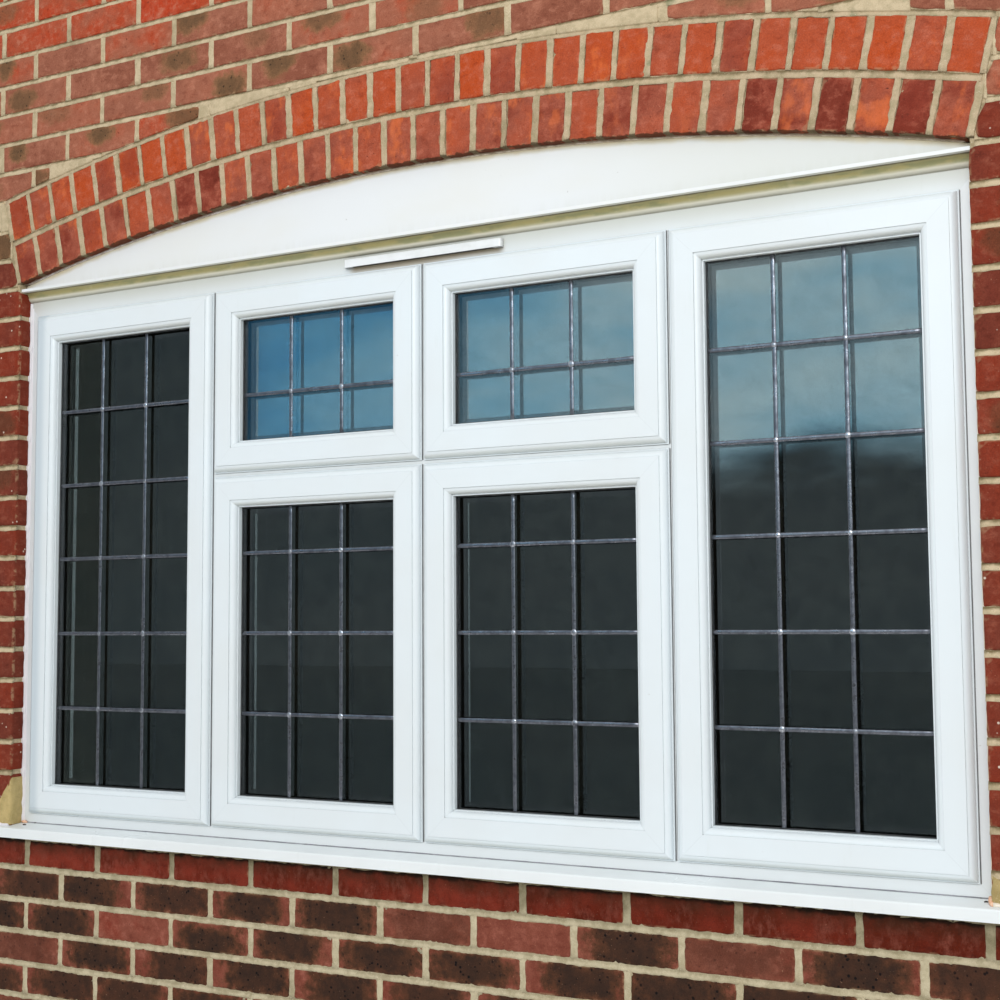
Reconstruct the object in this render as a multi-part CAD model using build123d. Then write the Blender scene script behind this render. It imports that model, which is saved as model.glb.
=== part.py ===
from build123d import *
import os

# A four-light casement window set in one bay of brick-faced cavity wall, under a segmental arch.
# Millimetres. X runs along the wall, Y runs into the wall, Z is up. The origin lies at ground
# level, on the window's centre line, in the middle of the brick leaf's thickness.
# "Depth" is always measured inwards from the brick face, "level" upwards from the sill's underside.

# Brick module
BRICK_LENGTH = 215.0
BRICK_HEIGHT = 65.0
BRICK_WIDTH = 102.5
MORTAR_JOINT = 10.0

# Wall bay
COURSE_COUNT_BELOW_SILL = 13
COURSE_COUNT_ABOVE_SILL = 29
BRICK_COUNT_IN_PIER = 1.5
CAVITY_WIDTH = 75.0
BLOCK_WIDTH = 100.0
PLASTER_THICKNESS = 12.5

# Opening and arch
OPENING_WIDTH = 2320.0
SPRINGING_CLEARANCE = 13.0
ARCH_RISE = 136.0
ARCH_RING_THICKNESS = 109.0

# Outer sill
SILL_HEIGHT = 26.0
SILL_NOSE_HEIGHT = 20.0
SILL_PROJECTION = 25.0
SILL_HORN = 60.0
SILL_END_CLEARANCE = 1.0
SILL_NOSE_RADIUS = 4.0
DRIP_DEPTH = 3.0
DRIP_WIDTH = 6.0

# Window frame
FRAME_SET_BACK = 38.0
FRAME_DEPTH = 70.0
FRAME_HEIGHT = 1278.0
FRAME_SIDE_GAP = 5.0
FRAME_MARGIN = 24.0
SASH_COVER = 10.0
UPSTAND_HEIGHT = 18.0
UPSTAND_DEPTH = 16.0
HEAD_EXTENSION_HEIGHT = 14.0

# Sashes
LIGHT_COUNT = 4
SASH_GAP = 6.0
TRANSOM_GAP = 8.0
VENT_HEIGHT = 426.0
SASH_PROUD = 18.0
SASH_DEPTH = 70.0
SASH_FACE_WIDTH = 72.0
OVOLO_RADIUS = 13.0
OVOLO_LIP = 3.0
QUIRK = 2.0
SASH_SEAL_GAP = 0.3
SASH_SIDE_CLEARANCE = 2.0

# Glazing
GLASS_SET_BACK = 27.0
PANE_THICKNESS = 4.0
PANE_SPACING = 20.0
GLASS_EDGE_COVER = 14.0
REBATE_CLEARANCE = 3.0
SPACER_WIDTH = 8.0

# Arched panel and the trims under it
PANEL_SET_BACK = 20.0
PANEL_THICKNESS = 40.0
PANEL_EDGE_GAP = 4.0
LIP_SET_BACK = 4.0
LIP_HEIGHT = 7.0
SCOTIA_RADIUS = 12.0
TRIM_BEAD_RADIUS = 10.0
TRIM_END_CLEARANCE = 1.0

# Ventilator
VENT_HOOD_LENGTH = 396.0
VENT_HOOD_HEIGHT = 18.0
VENT_HOOD_RISE = 6.0
VENT_HOOD_PROJECTION = 14.0
VENT_HOOD_WALL = 2.0
VENT_HOOD_CORNER = 5.0
VENT_HOOD_DROP = 4.0
VENT_HOOD_CAP = 20.0
INNER_VENT_HEIGHT = 22.0
INNER_VENT_PROJECTION = 12.0
INNER_VENT_DROP = 18.0

# Handles
HANDLE_BASE_LENGTH = 66.0
HANDLE_BASE_WIDTH = 22.0
HANDLE_BASE_THICKNESS = 10.0
HANDLE_NECK_RADIUS = 8.0
HANDLE_NECK_LENGTH = 26.0
HANDLE_LEVER_LENGTH = 118.0
HANDLE_LEVER_WIDTH = 18.0
HANDLE_LEVER_THICKNESS = 10.0
HANDLE_EDGE = 2.0

# Inside
INNER_OPENING_RISE = 13.0
WINDOW_BOARD_THICKNESS = 25.0
WINDOW_BOARD_NOSING = 30.0
WINDOW_BOARD_HORN = 50.0
LINTEL_HEIGHT = 215.0
LINTEL_SEAT_LENGTH = 150.0
SEALANT_FILLET = 6.0

# Derived sizes
COURSE = BRICK_HEIGHT + MORTAR_JOINT
PIER_WIDTH = BRICK_COUNT_IN_PIER * (BRICK_LENGTH + MORTAR_JOINT) - MORTAR_JOINT
LEAF_FRONT = -BRICK_WIDTH / 2
CAVITY_DEPTH = BRICK_WIDTH
BLOCK_DEPTH = CAVITY_DEPTH + CAVITY_WIDTH
PLASTER_DEPTH = BLOCK_DEPTH + BLOCK_WIDTH
ROOM_DEPTH = PLASTER_DEPTH + PLASTER_THICKNESS

HALF_OPENING = OPENING_WIDTH / 2
HALF_BAY = HALF_OPENING + PIER_WIDTH
SILL_Z = COURSE_COUNT_BELOW_SILL * COURSE + MORTAR_JOINT / 2
TOP_Z = SILL_Z + COURSE_COUNT_ABOVE_SILL * COURSE - MORTAR_JOINT / 2

HALF_FRAME = HALF_OPENING - FRAME_SIDE_GAP
FRAME_BOTTOM_Z = SILL_Z + SILL_HEIGHT
FRAME_TOP_Z = FRAME_BOTTOM_Z + FRAME_HEIGHT
FRAME_BACK = FRAME_SET_BACK + FRAME_DEPTH
REBATE_DEPTH = FRAME_BACK - UPSTAND_DEPTH
FRAME_FRONT_WIDTH = FRAME_MARGIN + SASH_COVER
EXTENSION_TOP_Z = FRAME_TOP_Z + HEAD_EXTENSION_HEIGHT

LIGHTS_BOTTOM_Z = FRAME_BOTTOM_Z + FRAME_MARGIN
LIGHTS_TOP_Z = FRAME_TOP_Z - FRAME_MARGIN
HALF_LIGHTS = HALF_FRAME - FRAME_MARGIN
SASH_WIDTH = (2 * HALF_LIGHTS - (LIGHT_COUNT - 1) * SASH_GAP) / LIGHT_COUNT
TALL_SASH_HEIGHT = LIGHTS_TOP_Z - LIGHTS_BOTTOM_Z
LOWER_SASH_HEIGHT = TALL_SASH_HEIGHT - VENT_HEIGHT - TRANSOM_GAP
TRANSOM_Z = LIGHTS_BOTTOM_Z + LOWER_SASH_HEIGHT + TRANSOM_GAP / 2

SASH_FACE_DEPTH = FRAME_SET_BACK - SASH_PROUD
SASH_BACK_DEPTH = SASH_FACE_DEPTH + SASH_DEPTH
SASH_BODY_EDGE = SASH_COVER + SASH_SIDE_CLEARANCE
GLASS_EDGE = SASH_FACE_WIDTH - GLASS_EDGE_COVER
REBATE_EDGE = GLASS_EDGE - REBATE_CLEARANCE
GLASS_BACK = GLASS_SET_BACK + 2 * PANE_THICKNESS + PANE_SPACING

LIP_BOTTOM_Z = EXTENSION_TOP_Z + TRIM_BEAD_RADIUS + SCOTIA_RADIUS
PANEL_BOTTOM_Z = LIP_BOTTOM_Z + LIP_HEIGHT
PANEL_BACK = PANEL_SET_BACK + PANEL_THICKNESS
SPRINGING_Z = PANEL_BOTTOM_Z + SPRINGING_CLEARANCE
ARCH_RADIUS = (HALF_OPENING**2 + ARCH_RISE**2) / (2 * ARCH_RISE)
ARCH_CENTRE_Z = SPRINGING_Z + ARCH_RISE - ARCH_RADIUS

SOFFIT_Z = EXTENSION_TOP_Z
INNER_SILL_Z = SILL_Z + INNER_OPENING_RISE
BOARD_TOP_Z = INNER_SILL_Z + WINDOW_BOARD_THICKNESS
HALF_INNER_CLEAR = HALF_OPENING - PLASTER_THICKNESS
PLASTER_SOFFIT_Z = SOFFIT_Z - PLASTER_THICKNESS


def area(x0, x1, z0, z1):
    """Rectangle in the wall's elevation."""
    return Pos((x0 + x1) / 2, (z0 + z1) / 2) * Rectangle(x1 - x0, z1 - z0)


def arch_disc(radius):
    """Disc struck from the arch's centre."""
    return Pos(0, ARCH_CENTRE_Z) * Circle(radius)


def slab(outline, depth0, depth1):
    """Solid with an outline in the wall's elevation, between two depths behind the brick face."""
    back = Plane(origin=(0, LEAF_FRONT + depth1, 0), x_dir=(1, 0, 0), z_dir=(0, -1, 0))
    return extrude(back * outline, amount=depth1 - depth0)


def outline_face(points):
    """Flat face with straight sides."""
    return make_face(Polyline(*points, close=True))


def run_along_wall(section, x0, x1):
    """Solid with a (depth, z) section, running along the wall from x0 to x1."""
    end = Plane(origin=(x0, LEAF_FRONT, 0), x_dir=(0, 1, 0), z_dir=(1, 0, 0))
    return extrude(end * section, amount=x1 - x0)


def save(name, shape):
    """Writes one named piece."""
    export_step(shape, f"parts/{name}.step")


# The wall's outer leaf: bricks laid in stretcher bond, with two header rings over the opening


def opening_outline():
    """The opening in the brick leaf: a rectangle with a segmental head."""
    head = arch_disc(ARCH_RADIUS) & area(-HALF_OPENING, HALF_OPENING, SPRINGING_Z, TOP_Z)
    return area(-HALF_OPENING, HALF_OPENING, SILL_Z, SPRINGING_Z) + head


def arch_ring(first, last):
    """Stretch of arch between two ring numbers, cut at both ends by the skewback's radial plane."""
    inner = ARCH_RADIUS + first * ARCH_RING_THICKNESS
    outer = ARCH_RADIUS + last * ARCH_RING_THICKNESS
    reach = 1.2 * outer / ARCH_RADIUS
    foot_x = HALF_OPENING * reach
    foot_z = ARCH_CENTRE_Z + (SPRINGING_Z - ARCH_CENTRE_Z) * reach
    sector = outline_face([(0, ARCH_CENTRE_Z), (foot_x, foot_z), (0, 2 * foot_z), (-foot_x, foot_z)])
    return (arch_disc(outer) - arch_disc(inner)) & sector


def brick_leaf():
    """Apron, piers and spandrel of the outer leaf, and the two rings of the arch."""
    whole = area(-HALF_BAY, HALF_BAY, 0, TOP_Z) - opening_outline() - arch_ring(0, 2)
    zones = {
        "brick_apron": area(-HALF_BAY, HALF_BAY, 0, SILL_Z),
        "brick_pier_left": area(-HALF_BAY, -HALF_OPENING, SILL_Z, TOP_Z),
        "brick_pier_right": area(HALF_OPENING, HALF_BAY, SILL_Z, TOP_Z),
        "brick_spandrel": area(-HALF_OPENING, HALF_OPENING, SPRINGING_Z, TOP_Z),
    }
    pieces = {name: slab(whole & zone, 0, BRICK_WIDTH) for name, zone in zones.items()}
    pieces["arch_ring_inner"] = slab(arch_ring(0, 1), 0, BRICK_WIDTH)
    pieces["arch_ring_outer"] = slab(arch_ring(1, 2), 0, BRICK_WIDTH)
    return pieces


# Behind the brick leaf: insulation, block leaf with its lintel, and plaster


def inner_wall():
    """Full-fill insulation, block leaf, lintel and the plaster with its reveals."""
    half_lintel = HALF_OPENING + LINTEL_SEAT_LENGTH
    lintel = area(-half_lintel, half_lintel, SOFFIT_Z, SOFFIT_Z + LINTEL_HEIGHT)
    batts = area(-HALF_BAY, HALF_BAY, 0, TOP_Z) - area(-HALF_OPENING, HALF_OPENING, SILL_Z, SOFFIT_Z)
    over = area(-HALF_BAY, HALF_BAY, SOFFIT_Z, TOP_Z) - lintel
    blocks = {
        "block_apron": area(-HALF_BAY, HALF_BAY, 0, INNER_SILL_Z),
        "block_pier_left": area(-HALF_BAY, -HALF_OPENING, INNER_SILL_Z, SOFFIT_Z),
        "block_pier_right": area(HALF_OPENING, HALF_BAY, INNER_SILL_Z, SOFFIT_Z),
        "inner_lintel": lintel,
        "block_wall_over": over,
    }
    pieces = {name: slab(zone, BLOCK_DEPTH, PLASTER_DEPTH) for name, zone in blocks.items()}
    pieces["cavity_insulation"] = slab(batts, CAVITY_DEPTH, BLOCK_DEPTH)
    apron = area(-HALF_BAY, HALF_BAY, 0, INNER_SILL_Z)
    pieces["plaster_apron"] = slab(apron, PLASTER_DEPTH, ROOM_DEPTH)
    for side, name in ((-1, "plaster_left"), (1, "plaster_right")):
        far, near = side * HALF_BAY, side * HALF_INNER_CLEAR
        face = area(min(far, near), max(far, near), INNER_SILL_Z, PLASTER_SOFFIT_Z)
        rim = side * HALF_OPENING
        reveal = area(min(rim, near), max(rim, near), INNER_SILL_Z, PLASTER_SOFFIT_Z)
        pieces[name] = slab(face, PLASTER_DEPTH, ROOM_DEPTH) + slab(reveal, FRAME_BACK, ROOM_DEPTH)
    over_face = area(-HALF_BAY, HALF_BAY, PLASTER_SOFFIT_Z, TOP_Z)
    soffit = area(-HALF_OPENING, HALF_OPENING, PLASTER_SOFFIT_Z, SOFFIT_Z)
    pieces["plaster_over"] = slab(over_face, PLASTER_DEPTH, ROOM_DEPTH) + slab(soffit, FRAME_BACK, ROOM_DEPTH)
    return pieces


def window_board():
    """Inner sill board with a rounded nosing and horns past the reveals."""
    nose = ROOM_DEPTH + WINDOW_BOARD_NOSING
    half_nose = HALF_INNER_CLEAR + WINDOW_BOARD_HORN
    between = area(-HALF_INNER_CLEAR, HALF_INNER_CLEAR, INNER_SILL_Z, BOARD_TOP_Z)
    across = area(-half_nose, half_nose, INNER_SILL_Z, BOARD_TOP_Z)
    front = slab(across, ROOM_DEPTH, nose)
    rounded = front.edges().filter_by(Axis.X).group_by(Axis.Y)[-1]
    front = fillet(rounded, WINDOW_BOARD_THICKNESS / 2 - 1)
    return {"window_board": slab(between, FRAME_BACK, ROOM_DEPTH) + front}


# The sill outside


def outer_sill():
    """Weathered sill: a sloping top, a rounded nose with a drip, and horns across the piers' faces."""
    nose = -SILL_PROJECTION
    section = outline_face(
        [
            (nose, SILL_Z - DRIP_DEPTH),
            (nose, SILL_Z + SILL_NOSE_HEIGHT),
            (FRAME_SET_BACK, FRAME_BOTTOM_Z),
            (FRAME_BACK, FRAME_BOTTOM_Z),
            (FRAME_BACK, SILL_Z),
            (nose + DRIP_WIDTH, SILL_Z),
            (nose + DRIP_WIDTH, SILL_Z - DRIP_DEPTH),
        ]
    )
    top_edge = section.vertices().sort_by(Axis.X)[0:2].sort_by(Axis.Y)[-1]
    section = fillet(top_edge, SILL_NOSE_RADIUS)
    half_length = HALF_OPENING + SILL_HORN
    sill = run_along_wall(section, -half_length, half_length)
    half_body = HALF_OPENING - SILL_END_CLEARANCE
    for x0, x1 in ((-half_length, -half_body), (half_body, half_length)):
        sill -= slab(area(x0, x1, SILL_Z - COURSE, SILL_Z + COURSE), 0, ROOM_DEPTH)
    return {"outer_sill": sill}


# The fixed frame: four mitred bars, three mullions and two transoms, all rebated


def frame_bar_section(front_width):
    """Rebated bar: a front of one width and, behind the rebate, an upstand that the sash shuts on."""
    return [
        (0, FRAME_SET_BACK),
        (front_width, FRAME_SET_BACK),
        (front_width, REBATE_DEPTH),
        (front_width + UPSTAND_HEIGHT, REBATE_DEPTH),
        (front_width + UPSTAND_HEIGHT, FRAME_BACK),
        (0, FRAME_BACK),
    ]


def bar_from_edge(section, width, height, side):
    """One mitred bar of a rectangular frame that is centred on X and Z, lying on its named side.

    The section is a face in (distance inwards from the frame's edge, depth).
    """
    far_x, far_z = width / 2, height / 2
    reach = min(far_x, far_z)
    if side in ("left", "right"):
        start = Plane(origin=(-far_x, LEAF_FRONT, -far_z), x_dir=(1, 0, 0), z_dir=(0, 0, 1))
        bar = extrude(start * section, amount=height)
        corners = [(-far_x, -far_z), (-far_x + reach, -far_z + reach)]
        corners += [(-far_x + reach, far_z - reach), (-far_x, far_z)]
    else:
        start = Plane(origin=(far_x, LEAF_FRONT, -far_z), x_dir=(0, 0, 1), z_dir=(-1, 0, 0))
        bar = extrude(start * section, amount=width)
        corners = [(-far_x, -far_z), (far_x, -far_z)]
        corners += [(far_x - reach, -far_z + reach), (-far_x + reach, -far_z + reach)]
    if len(set(corners)) == 3:
        corners = list(dict.fromkeys(corners))
    bar &= slab(outline_face(corners), 0, ROOM_DEPTH)
    if side == "right":
        return mirror(bar, about=Plane.YZ)
    if side == "head":
        return mirror(bar, about=Plane.XY)
    return bar


def mitred_ring(section, width, height):
    """Four mitred bars welded into one ring, centred on X and Z."""
    left = bar_from_edge(section, width, height, "left")
    foot = bar_from_edge(section, width, height, "foot")
    return left + foot + mirror(left, about=Plane.YZ) + mirror(foot, about=Plane.XY)


def outer_frame():
    """The frame's head, foot and jambs, each a mitred bar."""
    section = outline_face(frame_bar_section(FRAME_FRONT_WIDTH))
    place = Pos(0, 0, (FRAME_BOTTOM_Z + FRAME_TOP_Z) / 2)
    names = {
        "head": "frame_head",
        "foot": "frame_foot",
        "left": "frame_jamb_left",
        "right": "frame_jamb_right",
    }
    bars = {}
    for side, name in names.items():
        bars[name] = place * bar_from_edge(section, 2 * HALF_FRAME, FRAME_HEIGHT, side)
    extension = area(-HALF_FRAME, HALF_FRAME, FRAME_TOP_Z, EXTENSION_TOP_Z)
    bars["head_extension"] = slab(extension, FRAME_SET_BACK, FRAME_BACK)
    return bars


def divider_x(number):
    """Centre line of a mullion, numbered from the left."""
    return -HALF_LIGHTS + number * (SASH_WIDTH + SASH_GAP) - SASH_GAP / 2


def mullions():
    """Bars between the lights: a narrow web seen in the gap and a flange behind both rebates."""
    half_web = SASH_GAP / 2 + SASH_COVER
    half_flange = half_web + UPSTAND_HEIGHT
    web_foot, web_head = LIGHTS_BOTTOM_Z + SASH_COVER, LIGHTS_TOP_Z - SASH_COVER
    bars = {}
    for number, name in ((1, "mullion_left"), (2, "mullion_centre"), (3, "mullion_right")):
        x = divider_x(number)
        web = slab(area(x - half_web, x + half_web, web_foot, web_head), FRAME_SET_BACK, REBATE_DEPTH)
        ends = (web_foot + UPSTAND_HEIGHT, web_head - UPSTAND_HEIGHT)
        flange = slab(area(x - half_flange, x + half_flange, *ends), REBATE_DEPTH, FRAME_BACK)
        bars[name] = web + flange
    return bars


def transoms():
    """Bars under the two ventilator lights, scribed between the mullions."""
    half_web = TRANSOM_GAP / 2 + SASH_COVER
    half_flange = half_web + UPSTAND_HEIGHT
    reach = SASH_GAP / 2 + SASH_COVER
    bars = {}
    for number, name in ((1, "transom_left"), (2, "transom_right")):
        x0, x1 = divider_x(number) + reach, divider_x(number + 1) - reach
        web = slab(area(x0, x1, TRANSOM_Z - half_web, TRANSOM_Z + half_web), FRAME_SET_BACK, REBATE_DEPTH)
        x0, x1 = x0 + UPSTAND_HEIGHT, x1 - UPSTAND_HEIGHT
        flange_area = area(x0, x1, TRANSOM_Z - half_flange, TRANSOM_Z + half_flange)
        bars[name] = web + slab(flange_area, REBATE_DEPTH, FRAME_BACK)
    return bars


# Sashes and glazing


def sash_section():
    """Sash bar: an ovolo to each edge of a flat face, a flange over the frame, and a glazing rebate."""
    face, back = SASH_FACE_DEPTH, SASH_BACK_DEPTH
    top = face + QUIRK
    foot = top + OVOLO_RADIUS
    outer_centre = OVOLO_LIP + OVOLO_RADIUS
    inner_centre = SASH_FACE_WIDTH - OVOLO_LIP - OVOLO_RADIUS
    seal = FRAME_SET_BACK - SASH_SEAL_GAP
    outer_ovolo = CenterArc((outer_centre, foot), OVOLO_RADIUS, 180, 90)
    inner_ovolo = CenterArc((inner_centre, foot), OVOLO_RADIUS, 270, 90)
    face_line = Polyline((outer_centre, top), (outer_centre, face), (inner_centre, face), (inner_centre, top))
    body = Polyline(
        (SASH_FACE_WIDTH - OVOLO_LIP, foot),
        (SASH_FACE_WIDTH, foot),
        (SASH_FACE_WIDTH, face + GLASS_SET_BACK),
        (REBATE_EDGE, face + GLASS_SET_BACK),
        (REBATE_EDGE, back),
        (SASH_BODY_EDGE, back),
        (SASH_BODY_EDGE, seal),
        (0, seal),
        (0, foot),
        (OVOLO_LIP, foot),
    )
    return make_face(Curve() + [outer_ovolo, face_line, inner_ovolo, body])


def bead_section():
    """Glazing bead: fills the rebate behind the glass, with a splayed edge to the room."""
    glass_back = SASH_FACE_DEPTH + GLASS_BACK
    return outline_face(
        [
            (REBATE_EDGE, glass_back),
            (SASH_FACE_WIDTH, glass_back),
            (SASH_FACE_WIDTH, glass_back + QUIRK),
            (REBATE_EDGE + QUIRK, SASH_BACK_DEPTH),
            (REBATE_EDGE, SASH_BACK_DEPTH),
        ]
    )


def spacer_section():
    """Edge spacer between the two panes."""
    front = SASH_FACE_DEPTH + GLASS_SET_BACK + PANE_THICKNESS
    inner = GLASS_EDGE + REBATE_CLEARANCE
    return outline_face(
        [
            (inner, front),
            (inner + SPACER_WIDTH, front),
            (inner + SPACER_WIDTH, front + PANE_SPACING),
            (inner, front + PANE_SPACING),
        ]
    )


def glass_unit(width, height):
    """Two panes, centred on X and Z."""
    half_width, half_height = width / 2 - GLASS_EDGE, height / 2 - GLASS_EDGE
    pane = area(-half_width, half_width, -half_height, half_height)
    front = SASH_FACE_DEPTH + GLASS_SET_BACK
    inner = front + PANE_THICKNESS + PANE_SPACING
    return [slab(pane, front, front + PANE_THICKNESS), slab(pane, inner, inner + PANE_THICKNESS)]


def light_places():
    """Each sash's name, glass name, size and centre."""
    pitch = SASH_WIDTH + SASH_GAP
    first_x = -HALF_LIGHTS + SASH_WIDTH / 2
    tall_z = (LIGHTS_BOTTOM_Z + LIGHTS_TOP_Z) / 2
    lower_z = LIGHTS_BOTTOM_Z + LOWER_SASH_HEIGHT / 2
    vent_z = LIGHTS_TOP_Z - VENT_HEIGHT / 2
    last = LIGHT_COUNT - 1
    return [
        ("sash_left", "glass_left", TALL_SASH_HEIGHT, first_x, tall_z),
        ("sash_lower_left", "glass_lower_left", LOWER_SASH_HEIGHT, first_x + pitch, lower_z),
        ("vent_sash_left", "vent_glass_left", VENT_HEIGHT, first_x + pitch, vent_z),
        ("sash_lower_right", "glass_lower_right", LOWER_SASH_HEIGHT, first_x + 2 * pitch, lower_z),
        ("vent_sash_right", "vent_glass_right", VENT_HEIGHT, first_x + 2 * pitch, vent_z),
        ("sash_right", "glass_right", TALL_SASH_HEIGHT, first_x + last * pitch, tall_z),
    ]


def sashes():
    """Six sashes with their glass, beads and spacers."""
    pieces, beads, spacers = {}, [], []
    for sash, glass, height, x, z in light_places():
        place = Pos(x, 0, z)
        pieces[sash] = place * mitred_ring(sash_section(), SASH_WIDTH, height)
        pieces[glass] = Compound(children=[place * pane for pane in glass_unit(SASH_WIDTH, height)])
        beads.append(place * mitred_ring(bead_section(), SASH_WIDTH, height))
        spacers.append(place * mitred_ring(spacer_section(), SASH_WIDTH, height))
    pieces["glazing_beads"] = Compound(children=beads)
    pieces["glass_spacers"] = Compound(children=spacers)
    return pieces


# The arched panel, its trims and the sealant


def head_panel():
    """White panel that fills the arch, standing on a drip lip and a moulded trim."""
    half = HALF_OPENING - PANEL_EDGE_GAP
    zone = area(-half, half, PANEL_BOTTOM_Z, TOP_Z)
    panel = slab(arch_disc(ARCH_RADIUS - PANEL_EDGE_GAP) & zone, PANEL_SET_BACK, PANEL_BACK)
    half = HALF_OPENING - TRIM_END_CLEARANCE
    lip = slab(area(-half, half, LIP_BOTTOM_Z, PANEL_BOTTOM_Z), LIP_SET_BACK, PANEL_BACK)
    bead_top = EXTENSION_TOP_Z + TRIM_BEAD_RADIUS
    bead_front = FRAME_SET_BACK - TRIM_BEAD_RADIUS
    scotia_front = bead_front - SCOTIA_RADIUS
    scotia = CenterArc((scotia_front, bead_top), SCOTIA_RADIUS, 0, 90)
    bead = CenterArc((FRAME_SET_BACK, bead_top), TRIM_BEAD_RADIUS, 180, 90)
    back = Polyline(
        (FRAME_SET_BACK, EXTENSION_TOP_Z),
        (PANEL_BACK, EXTENSION_TOP_Z),
        (PANEL_BACK, LIP_BOTTOM_Z),
        (scotia_front, LIP_BOTTOM_Z),
    )
    trim = run_along_wall(make_face(Curve() + [scotia, bead, back]), -half, half)
    return {"arch_panel": panel, "panel_drip_lip": lip, "head_trim": trim}


def sealant():
    """Sealant fillets down both jambs, and the strip that closes the panel's edge under the arch."""
    fillets = []
    for side in (-1, 1):
        rim, edge = side * HALF_OPENING, side * HALF_FRAME
        start = Plane(origin=(0, LEAF_FRONT, FRAME_BOTTOM_Z), x_dir=(1, 0, 0), z_dir=(0, 0, 1))
        corners = [
            (rim, FRAME_SET_BACK - SEALANT_FILLET),
            (rim, FRAME_SET_BACK + SEALANT_FILLET),
            (edge, FRAME_SET_BACK + SEALANT_FILLET),
            (edge, FRAME_SET_BACK),
            (edge - side * SEALANT_FILLET, FRAME_SET_BACK),
        ]
        fillets.append(extrude(start * outline_face(corners), amount=FRAME_HEIGHT))
    strip = arch_disc(ARCH_RADIUS) - arch_disc(ARCH_RADIUS - PANEL_EDGE_GAP)
    strip &= area(-HALF_OPENING, HALF_OPENING, SPRINGING_Z, TOP_Z)
    fillets.append(slab(strip, PANEL_SET_BACK - SEALANT_FILLET, PANEL_BACK))
    return {"sealant": Compound(children=fillets)}


# Ventilator and handles


def ventilators():
    """Open-bottomed hood over the ventilation slot outside, and its cover in the room."""
    half = VENT_HOOD_LENGTH / 2
    top = FRAME_TOP_Z + VENT_HOOD_RISE
    hood_area = area(-half, half, top - VENT_HOOD_HEIGHT, top)
    front = FRAME_SET_BACK - VENT_HOOD_PROJECTION
    hood = slab(hood_area, front, FRAME_SET_BACK)
    corners = hood.edges().filter_by(Axis.Z).group_by(Axis.Y)[0]
    hood = fillet(corners, VENT_HOOD_CORNER)
    hood = fillet(hood.edges().group_by(Axis.Z)[-1].sort_by(Axis.Y)[0], VENT_HOOD_WALL)
    wall = VENT_HOOD_WALL
    cap = VENT_HOOD_CAP
    hollow = area(-half + cap, half - cap, top - VENT_HOOD_HEIGHT - wall, top - wall - VENT_HOOD_DROP)
    hollow = slab(hollow, front + wall, FRAME_SET_BACK)
    corners = hollow.edges().filter_by(Axis.Z).group_by(Axis.Y)[0]
    hood -= fillet(corners, VENT_HOOD_CORNER - wall)
    cover_top = top - INNER_VENT_DROP
    cover_area = area(-half, half, cover_top - INNER_VENT_HEIGHT, cover_top)
    cover = slab(cover_area, FRAME_BACK, FRAME_BACK + INNER_VENT_PROJECTION)
    cover = chamfer(cover.edges().group_by(Axis.Y)[-1], VENT_HOOD_WALL)
    return {"vent_hood": hood, "vent_cover_inside": cover}


def handle():
    """Casement handle with its lever hanging down: its seat is at the origin and it stands out along +Y."""
    base_face = SlotOverall(HANDLE_BASE_LENGTH, HANDLE_BASE_WIDTH, rotation=90)
    base = extrude(Plane.XZ * base_face, amount=-HANDLE_BASE_THICKNESS)
    base = chamfer(base.edges().group_by(Axis.Y)[-1], HANDLE_EDGE)
    lever_seat = HANDLE_BASE_THICKNESS + HANDLE_NECK_LENGTH
    neck = extrude(Plane.XZ * Circle(HANDLE_NECK_RADIUS), amount=-lever_seat)
    lever_drop = HANDLE_LEVER_LENGTH / 2 - HANDLE_LEVER_WIDTH / 2
    lever_face = Pos(0, -lever_drop) * SlotOverall(HANDLE_LEVER_LENGTH, HANDLE_LEVER_WIDTH, rotation=90)
    lever = extrude(Plane.XZ.offset(-lever_seat) * lever_face, amount=-HANDLE_LEVER_THICKNESS)
    lever = chamfer(lever.edges().group_by(Axis.Y)[-1], HANDLE_EDGE)
    return base + neck + lever


def handles():
    """Handles on the side sashes' inner stiles and on the ventilators' bottom rails."""
    bar_middle = (SASH_BODY_EDGE + UPSTAND_HEIGHT + REBATE_EDGE) / 2
    seat = LEAF_FRONT + SASH_BACK_DEPTH
    set_of_four = []
    for sash, _, height, x, z in light_places():
        inward = 1 if x < 0 else -1
        if sash in ("sash_left", "sash_right"):
            place = Pos(x + inward * (SASH_WIDTH / 2 - bar_middle), seat, z)
            set_of_four.append(place * handle())
        if sash.startswith("vent"):
            place = Pos(x, seat, z - height / 2 + bar_middle)
            set_of_four.append(place * Rot(0, 90 * inward, 0) * handle())
    return {"window_handles": Compound(children=set_of_four)}


os.makedirs("parts", exist_ok=True)
groups = [
    brick_leaf(),
    inner_wall(),
    window_board(),
    outer_sill(),
    outer_frame(),
    mullions(),
    transoms(),
    sashes(),
    head_panel(),
    sealant(),
    ventilators(),
    handles(),
]
for group in groups:
    for node_name, solid in group.items():
        save(node_name, solid)
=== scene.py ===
# %% [markdown]
# # A leaded casement window in an arched brick wall bay
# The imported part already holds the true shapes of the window: frame, mullions, transoms, sashes,
# double glazing, sill, arched panel and trims. It also holds the wall as plain leaves. This lesson
# adds what a bricklayer, a glazier and the weather did to it: every brick as its own body, the
# struck mortar between them, lead strips with solder on the glass, and a finish for each material.
#
# The file could start from an empty scene and copy the sizes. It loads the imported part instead,
# so that every piece made here sits on the real solids, in metres, with Z up and the outside
# of the wall looking along -Y.

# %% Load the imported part
import itertools
import math
import random

import bmesh
import bpy
from mathutils import Matrix, Vector, noise


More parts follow.
